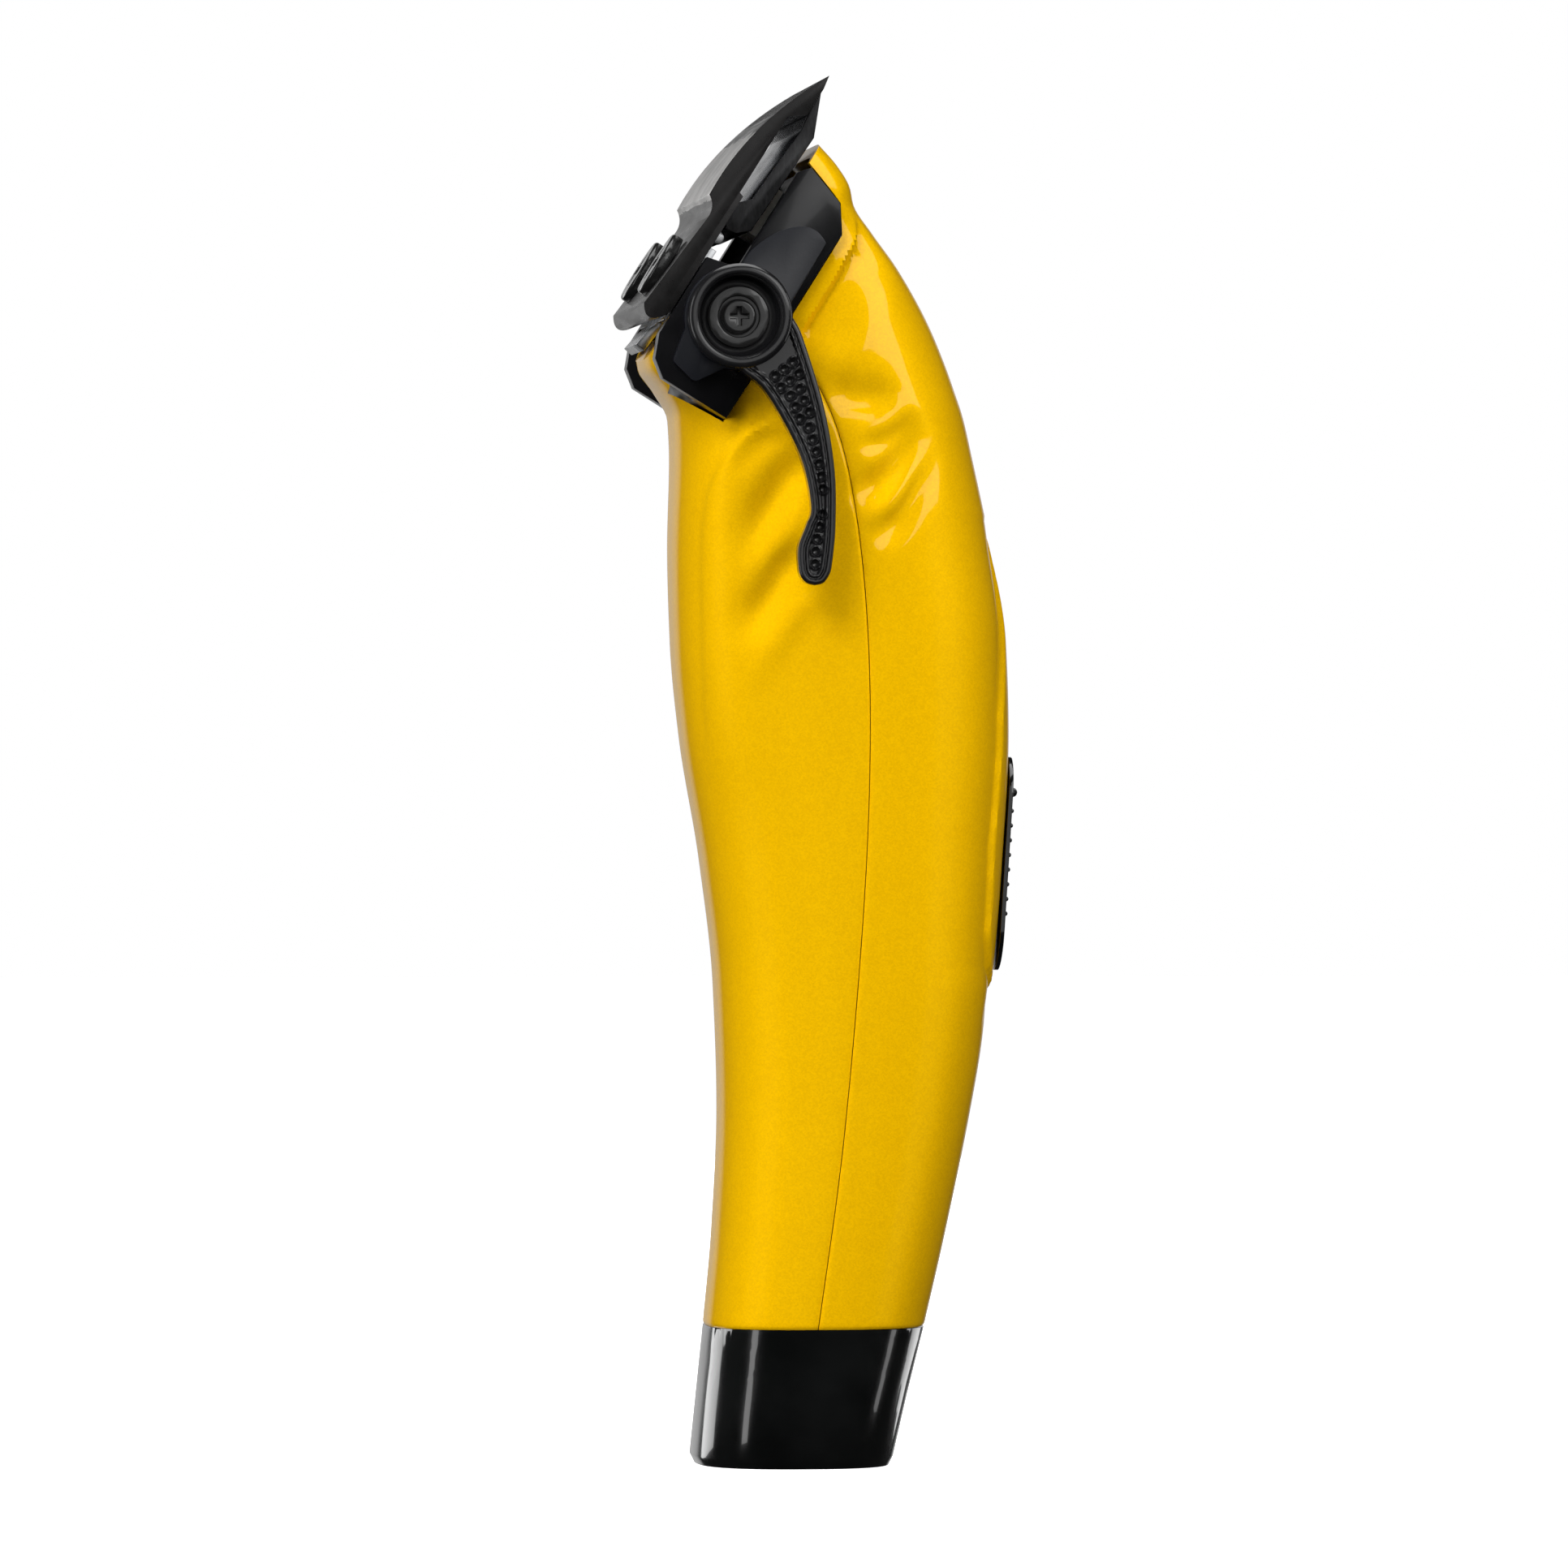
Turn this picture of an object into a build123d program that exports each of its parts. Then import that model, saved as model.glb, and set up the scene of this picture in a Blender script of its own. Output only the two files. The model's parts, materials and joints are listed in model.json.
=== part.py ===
from build123d import *
import math
import os

# Cordless hair clipper, standing on its base cap with the blades up.
# X runs from the skin side (-X) to the thumb side (+X), Y across the width with the taper
# lever on -Y, and Z up. The origin is the centre of the base face. Everything is in mm.

# ------------------------------------------------------------------ body shell
JOINT_HEIGHT = 17.8            # where the base cap meets the two shells
WALL = 2.2
RING_POINTS = 24
FIT_GAP = 0.15                 # gap between moulded pieces that drop into each other
# height, skin-side x, thumb-side x, half width, squareness of the cross-section
BODY_ROWS = [
    (17.8, -11.5, 16.7, 17.0, 2.6),
    (30.0, -10.4, 19.5, 17.5, 2.6),
    (46.0, -9.7, 22.8, 18.0, 2.6),
    (62.0, -10.2, 25.5, 18.6, 2.6),
    (78.0, -12.0, 26.9, 19.2, 2.6),
    (94.0, -14.6, 27.7, 19.8, 2.7),
    (106.0, -15.7, 27.3, 20.3, 2.8),
    (118.0, -16.0, 25.3, 20.7, 2.9),
    (130.0, -15.7, 22.7, 21.0, 3.0),
    (135.0, -15.9, 21.5, 21.0, 3.1),
    (138.5, -17.7, 20.3, 21.0, 3.2),
    (141.5, -19.7, 19.2, 21.0, 3.3),
    (147.2, -20.3, 16.7, 21.0, 3.5),
    (154.0, -20.3, 12.6, 21.0, 4.2),
    (158.5, -20.3, 9.1, 21.0, 5.0),
    (162.0, -20.3, 6.5, 21.0, 6.5),
    (164.4, -20.3, 5.8, 21.0, 8.0),
    (167.0, -20.3, 4.2, 21.0, 8.0),
    (170.0, -20.3, 1.5, 21.0, 8.0),
]
# the seam between the two shells, seen from the side, from the head down to the cap
SEAM = [(-4.6, 145.4), (0.8, 139.2), (4.5, 129.9), (6.9, 115.4), (7.9, 97.0), (7.3, 74.0),
        (4.8, 43.0), (1.4, 17.0)]
SEAM_MARGIN = 60.0             # how far the cutting slab reaches past the body

# ------------------------------------------------------------------ base cap
CAP_ROWS = [
    (0.0, -12.6, 12.1, 16.4, 2.6),
    (1.2, -13.2, 12.7, 17.0, 2.6),
    (9.0, -12.4, 14.5, 17.1, 2.6),
    (17.8, -11.5, 16.7, 17.0, 2.6),
]
CAP_WALL = 2.0
CAP_FLOOR = 3.0
COLLAR_LOW = 13.0
COLLAR_TOP = 24.0
COLLAR_WALL = 1.6
PLATE_INSET = 3.2
PLATE_THICKNESS = 1.4
PLATE_GAP = 0.1
BASE_SCREW_X = 9.0
BASE_SCREW_HEAD = 2.0
BASE_SCREW_SHANK = 1.0
PORT_LENGTH, PORT_WIDTH = 9.0, 3.3
PORT_WALL = 0.35
PORT_LOW, PORT_TOP = 0.3, 7.6
JACK_BOARD = (16.0, 20.0, 1.0)

# ------------------------------------------------------------------ blade frame
# u runs along the blade towards its teeth and v out of its skin side; the origin of the
# blade frame is the cutter's tooth tip
BLADE_ANGLE = 57.8             # of u above the horizontal, in the XZ plane
TOOTH_TIP = (1.57, 176.27)
BLADE_HALF = 22.0
CUTTER_HALF = 20.0
TOOTH_PITCH = 2.0
GAP_ROOT_HALF = 0.38           # half width of the gap between two teeth, at its round root
GAP_TIP_HALF = 0.62            # and where it opens past the tooth tips
GAP_END_U = 3.0
GAP_DEPTH = 8.0                # how far each gap's cut reaches to either side of the blade plane
BLADE_TEETH_REACH = -5.4
CUTTER_TEETH_REACH = -5.0
HEEL_INNER = 1.45              # v of the heel's inner face, on which the cutter's rail runs
LAND = 0.05                    # v of the tooth land, just clear of the cutter
SCREW_U = -29.2
SCREW_Y = 12.0
SCREW_HEAD_R = 4.4
SCREW_HEAD_V = (4.45, 6.0)
SCREW_SHANK_R = 1.7

# ------------------------------------------------------------------ head frame
HEAD_OUTER = 22.0
HEAD_INNER = 18.2
HEAD_FLOOR_V = -11.8
HEAD_FLOOR_THICKNESS = 1.0
HEAD_OUTLINE = [(-42.0, -11.8), (-42.0, -2.2), (-40.4, 0.0), (-37.4, 1.25), (-25.9, 1.25),
                (-24.9, -2.9), (-10.4, -2.9), (-9.1, -4.0), (-10.9, -9.4), (-14.1, -11.8)]
END_WALL = [(-42.0, -11.8), (-42.0, -7.4), (-38.5, -4.2), (-36.0, -4.2), (-36.0, -11.8)]
RAIL = [(-38.0, -5.0), (-36.5, 0.25), (-26.0, 0.25), (-26.0, -3.4), (-36.0, -5.0)]
RAIL_Y = (5.0, 9.0)
HOOD_WALL = [(-10.9, -9.4), (-12.4, -9.9), (-11.0, -5.0), (-9.1, -4.0)]
ARM_OPENING_U = (-27.5, -17.0)
ARM_OPENING_Y = 8.0
HEAD_SCREW_U, HEAD_SCREW_Y = -20.0, 14.5
BOSS_R, BOSS_HOLE_R = 2.6, 1.05
SHELL_CUT = [(-42.3, 60.0), (-42.3, -12.0), (-14.1, -12.0), (-10.7, -9.7), (-8.6, -3.5),
             (40.0, -3.5), (40.0, 60.0)]
# the skin-side lip between the cheeks, which ends just under the blade bracket
LIP_ZONE = [(-46.0, -6.0), (-42.3, -4.6), (-36.0, -0.6), (-36.0, 0.1), (-46.0, 0.1)]
LIP_HALF = 13.0
PANEL_HEIGHT = 1.6             # the leaf-shaped raised panel on each side of the head
PAD_HEIGHT = 2.6

# ------------------------------------------------------------------ taper lever
HUB_U, HUB_V = -30.5, -5.97
HUB_R = 6.5
HUB_BORE_R = 5.0
HUB_Y = (-29.0, -24.0)
HUB_FLOOR_Y = -25.5
ARM_Y = (-28.2, -25.6)
LEVER_SCREW_R = 1.4
LEVER_SCREW_HEAD_R = 2.2
WASHER_R, WASHER_BORE_R, WASHER_THICK = 3.9, 2.6, 0.9
PIVOT_R = 3.2
RUNNING_GAP = 0.05
CAM_FLANGE_R = 4.6
CAM_FLANGE_Y = (-18.1, -17.2)
CAM_PIN_R = 1.2
CAM_PIN_END_Y = -14.9
LEVER_SWING = 45.0
TAPER_TRAVEL = 1.9
CAM_RADIUS = TAPER_TRAVEL / 2 / math.sin(math.radians(LEVER_SWING / 2))
# the arm's two edges, from the hub's centre: x towards the thumb side, z up
ARM_THUMB_EDGE = [(6.3, 0.6), (8.1, -2.6), (10.7, -11.4), (12.1, -19.5), (12.2, -26.9),
                  (11.4, -33.0)]
ARM_TIP_MIDDLE = (9.6, -34.3)
ARM_SKIN_EDGE = [(7.9, -32.6), (7.5, -30.0), (9.1, -24.8), (7.6, -17.6), (3.4, -9.9),
                 (-1.6, -6.4)]

# ------------------------------------------------------------------ blade bracket
BRACKET_PROFILE = [(-24.2, 0.3), (-35.0, 0.3), (-36.2, 0.6), (-39.3, 0.9), (-39.1, 2.2),
                   (-36.6, 1.8), (-35.4, 1.4), (-24.2, 1.4)]
BRACKET_HALF = 16.8
TAIL_HALF = 9.0
TAIL_START_U = -35.2
BRACKET_ARM_U = (-33.2, -26.0)
BRACKET_ARM_V = -10.5
BRACKET_ARM_Y = (-16.8, -15.4)
SLOT_GAP = 0.05

# ------------------------------------------------------------------ motor and drive arm
PIVOT_X, PIVOT_Z = 4.0, 128.0
BALL_U, BALL_V = -15.0, -4.9
BALL_R = 2.0
BALL_SLOT = 2.04
PIN_R = 2.0
BUSH_R = 3.1
ARM_HUB_R = 4.8
ARM_HALF_THICK = 2.0
ARM_PLATE_END = 7.0            # the flat of the arm ends this far short of the ball
NECK_R = 1.4
LUG_Y = (1.0, 3.0)
LUG_HALF = 11.2
YOKE_Y = (-8.8, -5.6)
MAGNET_Y = (-10.5, -8.8)
CORE_HALF, CORE_THICK = 13.0, 4.4
CORE_TOP, CORE_BACK, CORE_BASE = -11.4, -23.2, -27.0
CORE_LEG, CORE_OUTER_LEG = 3.5, 9.2
COIL_HALF = 7.8
PLATE_Z = (4.5, 5.7)
SPRING_X, SPRING_R, SPRING_WIRE = 9.4, 2.2, 0.5
SPRING_TOP = 10.0
BRIDGE_Y = (10.0, 11.5)
HORN_X = ((-CORE_HALF, -6.6), (6.6, CORE_HALF))    # the frame's arms beside the springs
LAMINATION_SCREW = (10.5, -25.1)

# ------------------------------------------------------------------ battery, board, switch
CELL_X, CELL_R = 6.0, 9.2
CELL_Z = (27.0, 92.0)
CRADLE = (-5.2, 16.6, 10.6, 25.0, 97.0)      # x low, x high, half width, z low, z high
BOARD_X = (17.8, 19.0)
BOARD_HALF, BOARD_Z = 8.6, (54.0, 96.0)
SLIDER_TILT = 3.6              # of the thumb pad off the vertical, leaning back as it rises
SLIDER_LOW = (26.1, 63.7)
SLIDER_LENGTH = 27.7
SLIDER_HALF = 5.2
SLIDER_THICK = 0.55
SLIDER_RIB_R = 0.32
SLIDER_BEAD_R = 0.6                # of the push bead near the pad's upper end
SLIDER_TRAVEL = 3.5
STEM_HALF, STEM_LENGTH = 1.8, 6.0
STEM_AT = 14.0                 # along the pad, from its lower end
SWITCH_SLOT_HALF = 2.1


# ================================================================== helpers
def body_row(height, rows):
    """The cross-section's sizes at any height, in straight lines between the rows."""
    for low, high in zip(rows, rows[1:]):
        if low[0] <= height <= high[0]:
            share = (height - low[0]) / (high[0] - low[0])
            return [a + (b - a) * share for a, b in zip(low, high)]
    return list(rows[-1] if height > rows[-1][0] else rows[0])


def ring(row, inset=0.0):
    """One closed cross-section: a superellipse, moved inwards by inset."""
    height, skin, thumb, half_width, squareness = row
    middle = (skin + thumb) / 2
    half_depth = (thumb - skin) / 2 - inset
    half_width = half_width - inset
    power = 2 / squareness
    points = []
    for step in range(RING_POINTS):
        turn = 2 * math.pi * step / RING_POINTS
        across, along = math.sin(turn), math.cos(turn)
        x = middle + half_depth * math.copysign(abs(along) ** power, along)
        y = half_width * math.copysign(abs(across) ** power, across)
        points.append((x, y, height))
    return make_face(Spline(*points, periodic=True))


def skin_loft(rows, inset=0.0):
    return loft([ring(row, inset) for row in rows], ruled=True)


def ring_block(low, high, inset, rows):
    """A short straight-sided block of the body's own cross-section."""
    return loft([ring(body_row(low, rows), inset), ring(body_row(high, rows), inset)])


def slab(plane, outline, y_low, y_high):
    """A side-view outline, as points or as a face, carried across from y_low to y_high."""
    face = make_face(Polyline(*outline, close=True)) if isinstance(outline, list) else outline
    return plane.offset(-y_high) * extrude(face, amount=y_high - y_low, dir=(0, 0, 1))


def both_sides(plane, outline, y_inner, y_outer):
    return slab(plane, outline, y_inner, y_outer) + slab(plane, outline, -y_outer, -y_inner)


def box(x, y, z):
    """A box from three (low, high) pairs."""
    size = [high - low for low, high in (x, y, z)]
    middle = [(high + low) / 2 for low, high in (x, y, z)]
    return Pos(*middle) * Box(*size)


def cylinder_y(plane, at, radius, y_low, y_high):
    return slab(plane, Pos(*at) * Circle(radius), y_low, y_high)


def blade_xz(u, v):
    """The side-view position of a point given in the blade frame."""
    angle = math.radians(BLADE_ANGLE)
    x = TOOTH_TIP[0] + u * math.cos(angle) - v * math.sin(angle)
    return x, TOOTH_TIP[1] + u * math.sin(angle) + v * math.cos(angle)


def screw(head_r, head_height, shank_r, length):
    """A cross-head screw along +Z with its head's underside at the origin."""
    head = Pos(0, 0, -head_height / 2) * Cylinder(head_r, head_height)
    head = fillet(head.edges().group_by(Axis.Z)[0], min(head_height, head_r) * 0.3)
    shank = Pos(0, 0, length / 2) * Cylinder(shank_r, length)
    long, thin = head_r * 1.1, head_r * 0.28
    cross = Box(long, thin, head_height) + Box(thin, long, head_height)
    return head + shank - Pos(0, 0, -head_height) * cross


SIDE = Plane.XZ                # local x, y = world X, Z; extrusions run towards -Y
BLADE = Plane(origin=(TOOTH_TIP[0], 0, TOOTH_TIP[1]),
              x_dir=(math.cos(math.radians(BLADE_ANGLE)), 0, math.sin(math.radians(BLADE_ANGLE))),
              z_dir=(0, -1, 0))
BALL_X, BALL_Z = blade_xz(BALL_U, BALL_V)
ARM_LENGTH = math.hypot(BALL_X - PIVOT_X, BALL_Z - PIVOT_Z)
ARM_X, ARM_Z = (BALL_X - PIVOT_X) / ARM_LENGTH, (BALL_Z - PIVOT_Z) / ARM_LENGTH
# local x = world Y, local y = up the drive arm, local z = along the pivot pin
MOTOR = Plane(origin=(PIVOT_X, 0, PIVOT_Z), x_dir=(0, 1, 0), z_dir=(ARM_Z, 0, -ARM_X))
# local x = outwards from the pad, local y = world Y, local z = up the pad
SLIDER = Plane(origin=(SLIDER_LOW[0], 0, SLIDER_LOW[1]),
               x_dir=(math.cos(math.radians(SLIDER_TILT)), 0, -math.sin(math.radians(SLIDER_TILT))),
               z_dir=(math.sin(math.radians(SLIDER_TILT)), 0, math.cos(math.radians(SLIDER_TILT))))
HUB_X, HUB_Z = blade_xz(HUB_U, HUB_V)


def across_v(u, y):
    """A frame at (u, y) on the blade plane whose z runs out of the skin side."""
    x, z = blade_xz(u, 0)
    angle = math.radians(BLADE_ANGLE)
    return Plane(origin=(x, y, z), x_dir=(0, 1, 0), z_dir=(-math.sin(angle), 0, math.cos(angle)))


# ================================================================== shells and base
def shell_pair():
    outer = skin_loft(BODY_ROWS)
    under, over = list(BODY_ROWS[0]), list(BODY_ROWS[-1])
    under[0] -= 1.0
    over[0] += 1.0
    walls = outer - skin_loft([under, *BODY_ROWS, over], WALL)
    head_room = slab(BLADE, SHELL_CUT, -BLADE_HALF - 8, BLADE_HALF + 8)
    walls -= head_room - slab(BLADE, LIP_ZONE, -LIP_HALF, LIP_HALF)
    seam = Spline(*SEAM)
    top, foot = SEAM[0], SEAM[-1]
    border = Polyline(foot, (foot[0], 0), (-SEAM_MARGIN, 0), (-SEAM_MARGIN, top[1] + SEAM_MARGIN),
                      (top[0] - SEAM_MARGIN / 2, top[1] + SEAM_MARGIN), top)
    skin_side = slab(SIDE, make_face(seam + border), -SEAM_MARGIN, SEAM_MARGIN)
    front = walls & skin_side
    rear = walls - skin_side
    rear += head_bosses() & skin_loft(BODY_ROWS, WALL / 2)
    rear -= switch_slot()
    return biggest(front), biggest(rear)


def biggest(shape):
    return max(shape.solids(), key=lambda solid: solid.volume)


def head_bosses():
    """Two screw bosses that stand from the rear shell's wall up to the head frame."""
    bosses = Part()
    for side in (-1, 1):
        place = across_v(HEAD_SCREW_U, side * HEAD_SCREW_Y)
        length = 20.0
        top = HEAD_FLOOR_V - 0.05
        post = Pos(0, 0, top - length / 2) * (Cylinder(BOSS_R, length) - Cylinder(BOSS_HOLE_R, length))
        bosses += place * post
    return bosses


def switch_slot():
    room = SLIDER_TRAVEL + 0.4
    return SLIDER * box((-8, 0.6), (-SWITCH_SLOT_HALF, SWITCH_SLOT_HALF),
                        (STEM_AT - STEM_LENGTH / 2 - 0.4, STEM_AT + STEM_LENGTH / 2 + room))


def base_cap():
    cap = skin_loft(CAP_ROWS)
    cap -= loft([ring(body_row(z, CAP_ROWS), CAP_WALL) for z in (CAP_FLOOR, 9.0, JOINT_HEIGHT)])
    cap += ring_block(COLLAR_LOW, JOINT_HEIGHT, CAP_WALL / 2, CAP_ROWS)
    cap += ring_block(JOINT_HEIGHT, COLLAR_TOP, WALL + FIT_GAP, BODY_ROWS)
    cap -= ring_block(COLLAR_LOW, JOINT_HEIGHT, WALL + COLLAR_WALL, CAP_ROWS)
    cap -= ring_block(JOINT_HEIGHT, COLLAR_TOP, WALL + COLLAR_WALL, BODY_ROWS)
    cap -= extrude(plate_outline(PLATE_INSET - PLATE_GAP), amount=PLATE_THICKNESS)
    cap -= port_block(PLATE_GAP, 0, CAP_FLOOR)
    for side in (-1, 1):
        cap -= Pos(0, side * BASE_SCREW_X, CAP_FLOOR / 2) * Cylinder(BASE_SCREW_SHANK + 0.05, CAP_FLOOR)
    return cap


def plate_outline(inset):
    row = list(body_row(0.0, CAP_ROWS))
    return ring(row, inset)


def port_block(grow, low, high):
    width, length = PORT_WIDTH + 2 * grow, PORT_LENGTH + 2 * grow
    outline = RectangleRounded(width, length, width / 2 - 0.05)
    return Pos(0, 0, low) * extrude(outline, amount=high - low)


def base_plate():
    plate = extrude(plate_outline(PLATE_INSET), amount=PLATE_THICKNESS)
    plate -= port_block(PLATE_GAP, 0, PLATE_THICKNESS)
    for side in (-1, 1):
        plate -= Pos(0, side * BASE_SCREW_X, 0.5) * Cylinder(BASE_SCREW_HEAD + 0.1, 1.0)
        plate -= Pos(0, side * BASE_SCREW_X, 1) * Cylinder(BASE_SCREW_SHANK + 0.05, 4)
    return plate


def base_screws():
    one = screw(BASE_SCREW_HEAD, 0.8, BASE_SCREW_SHANK, 4.5)
    return Pos(0, -BASE_SCREW_X, 1.0) * one + Pos(0, BASE_SCREW_X, 1.0) * one


def charge_port():
    port = port_block(-0.05, PORT_LOW, PORT_TOP) - port_block(-PORT_WALL, PORT_LOW, PORT_TOP - 0.8)
    return port + box((-0.35, 0.35), (-3.35, 3.35), (PORT_LOW + 1.0, PORT_TOP - 0.4))


def port_board():
    length, width, thick = JACK_BOARD
    return Pos(0, 0, PORT_TOP + thick / 2) * Box(length, width, thick)


# ================================================================== blade set
def fixed_blade():
    outer = Spline((2.1, 0.35), (-2.6, 2.5), (-9.2, 4.5), (-19.0, 5.25))
    step = Spline((-19.0, 5.25), (-20.2, 4.1), (-21.6, 3.85))
    heel_end = Spline((-35.2, 4.95), (-36.3, 3.8), (-34.3, HEEL_INNER))
    straight = Polyline((-34.3, HEEL_INNER), (-16.9, HEEL_INNER), (-16.7, 2.07), (-5.2, 2.07),
                        (-3.6, LAND), (0.3, LAND), (2.1, 0.35))
    outline = make_face(outer + step + Line((-21.6, 3.85), (-35.2, 4.95)) + heel_end + straight)
    blade = slab(BLADE, outline, -BLADE_HALF, BLADE_HALF)
    blade -= tooth_gaps(BLADE_HALF - 1.6, BLADE_TEETH_REACH)
    seat = Pos(0, 0, SCREW_HEAD_V[0] + 1) * Cylinder(SCREW_HEAD_R + 0.1, 2)
    for side in (-1, 1):
        blade -= across_v(SCREW_U, side * SCREW_Y) * (Cylinder(SCREW_SHANK_R + 0.15, 20) + seat)
    return blade


def tooth_gaps(half, reach):
    """The gaps between the teeth, from side to side at the tooth pitch."""
    count = int(half / TOOTH_PITCH)
    sides = Polyline((-GAP_ROOT_HALF, -reach), (-GAP_TIP_HALF, -GAP_END_U),
                     (GAP_TIP_HALF, -GAP_END_U), (GAP_ROOT_HALF, -reach))
    root = ThreePointArc(sides @ 1, (0, -reach + GAP_ROOT_HALF), sides @ 0)
    gap = extrude(make_face(sides + root), amount=GAP_DEPTH, both=True)
    gaps = Part()
    for index in range(-count, count + 1):
        gaps += across_v(0, index * TOOTH_PITCH) * gap
    return gaps


def moving_cutter():
    outline = [(0.0, 0.0), (-2.8, 0.0), (-5.7, -0.45), (-16.4, 0.2), (-17.6, HEEL_INNER - 0.05),
               (-20.9, HEEL_INNER - 0.05), (-21.4, 0.9), (-21.2, -0.4), (-19.9, -1.85), (-5.5, -2.36)]
    cutter = slab(BLADE, outline, -CUTTER_HALF, CUTTER_HALF)
    return cutter - tooth_gaps(CUTTER_HALF - 1.2, CUTTER_TEETH_REACH)


def cutter_block():
    """The nylon block on the cutter, with the slot that the drive ball runs in."""
    outline = [(-19.0, -1.95), (-19.0, -6.9), (-12.2, -6.9), (-12.2, -2.2)]
    block = slab(BLADE, outline, -6.5, 6.5)
    slot = [(-19.5, -8.0), (-19.5, -2.8), (-11.0, -2.8), (-11.0, -8.0)]
    return block - slab(BLADE, slot, -BALL_SLOT, BALL_SLOT)


def cutter_guide():
    """The small stop strip on the heel, behind the cutter."""
    arc = ThreePointArc((-21.9, HEEL_INNER), (-22.7, 0.35), (-23.5, HEEL_INNER))
    outline = make_face(arc + Line((-23.5, HEEL_INNER), (-21.9, HEEL_INNER)))
    return slab(BLADE, outline, -18.0, 18.0)


def blade_screws():
    """Two screws, heads on the skin side, through the heel into the bracket."""
    low, high = SCREW_HEAD_V
    screws = Part()
    for side in (-1, 1):
        place = across_v(SCREW_U, side * SCREW_Y)
        flipped = Pos(0, 0, low) * Rot(180, 0, 0)
        screws += place * flipped * screw(SCREW_HEAD_R, high - low, SCREW_SHANK_R, low + 0.5)
    return screws


def blade_bracket():
    """Bent steel bracket: plate under the heel, tail past it, and the arm with the cam slot."""
    wide = slab(BLADE, BRACKET_PROFILE, -BRACKET_HALF, BRACKET_HALF)
    trim = [(-45.0, -1.0), (-45.0, 4.0), (TAIL_START_U, 4.0), (TAIL_START_U, -1.0)]
    wide -= both_sides(BLADE, trim, TAIL_HALF, BRACKET_HALF + 1)
    low, high = BRACKET_ARM_U
    arm = slab(BLADE, [(low, 1.4), (high, 1.4), (high, BRACKET_ARM_V), (low, BRACKET_ARM_V)],
               *BRACKET_ARM_Y)
    pin_u, pin_v = cam_pin_place(-LEVER_SWING / 2)
    middle_v = cam_pin_place(0)[1]
    slot_half = CAM_PIN_R + SLOT_GAP
    low_v, high_v = middle_v - slot_half - 0.1, pin_v + slot_half + 0.1
    slot = [(pin_u - slot_half, low_v), (pin_u + slot_half, low_v),
            (pin_u + slot_half, high_v), (pin_u - slot_half, high_v)]
    bracket = wide + arm - slab(BLADE, slot, BRACKET_ARM_Y[0] - 1, BRACKET_ARM_Y[1] + 1)
    for side in (-1, 1):
        bracket -= across_v(SCREW_U, side * SCREW_Y) * Cylinder(SCREW_SHANK_R + 0.02, 20)
    return bracket


# ================================================================== head
def head_frame():
    cheeks = both_sides(BLADE, HEAD_OUTLINE, HEAD_INNER, HEAD_OUTER)
    floor_top = HEAD_FLOOR_V + HEAD_FLOOR_THICKNESS
    floor = [(-42.0, HEAD_FLOOR_V), (-42.0, floor_top), (-12.9, floor_top), (-14.1, HEAD_FLOOR_V)]
    frame = cheeks + slab(BLADE, floor, -HEAD_INNER, HEAD_INNER)
    frame += slab(BLADE, END_WALL, -HEAD_INNER, HEAD_INNER)
    frame += slab(BLADE, HOOD_WALL, -HEAD_INNER, HEAD_INNER)
    frame += both_sides(BLADE, RAIL, *RAIL_Y)
    low, high = ARM_OPENING_U
    under, over = HEAD_FLOOR_V - 1, floor_top + 1
    opening = [(low, under), (high, under), (high, over), (low, over)]
    frame -= slab(BLADE, opening, -ARM_OPENING_Y, ARM_OPENING_Y)
    frame -= cylinder_y(BLADE, (HUB_U, HUB_V), PIVOT_R + RUNNING_GAP, -HEAD_OUTER - 1, 0)
    for side in (-1, 1):
        hole = Pos(0, 0, HEAD_FLOOR_V) * Cylinder(BOSS_HOLE_R, 6)
        frame -= across_v(HEAD_SCREW_U, side * HEAD_SCREW_Y) * hole
    return frame


def side_plate(with_lever):
    """Raised leaf, hub boss and corner pad on one side of the head."""
    crown = Spline((-22.8, -2.9), (-18.4, -4.7), (-15.8, -7.9), (-16.4, -10.6))
    foot = Polyline((-16.4, -10.6), (-27.0, -10.9), (-33.0, -8.0), (-25.2, -2.9), (-22.8, -2.9))
    leaf = make_face(crown + foot)
    pad = make_face(FilletPolyline((-34.6, -1.0), (-39.6, -2.0), (-40.4, -5.8), (-36.0, -8.6),
                                   (-32.0, -5.0), radius=0.8, close=True))
    near, far = -HEAD_OUTER, -HEAD_OUTER - PANEL_HEIGHT
    plate = slab(BLADE, leaf, far, near)
    plate += slab(BLADE, pad, -HEAD_OUTER - PAD_HEIGHT + 0.8, near)
    plate += cylinder_y(BLADE, (HUB_U, HUB_V), HUB_R + 0.2, far - 0.2, near)
    if with_lever:
        return plate - cylinder_y(BLADE, (HUB_U, HUB_V), PIVOT_R + RUNNING_GAP, far - 1, near + 1)
    plate += cylinder_y(BLADE, (HUB_U, HUB_V), HUB_BORE_R, far - 1.2, near)
    return mirror(plate, about=Plane.XZ)


def head_screws():
    screws = Part()
    for side in (-1, 1):
        place = across_v(HEAD_SCREW_U, side * HEAD_SCREW_Y)
        seat = Pos(0, 0, HEAD_FLOOR_V + HEAD_FLOOR_THICKNESS) * Rot(180, 0, 0)
        screws += place * seat * screw(2.1, 1.3, BOSS_HOLE_R - 0.05, 9.0)
    return screws


# ================================================================== lever
def from_hub(points):
    return [(HUB_X + x, HUB_Z + z) for x, z in points]


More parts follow.
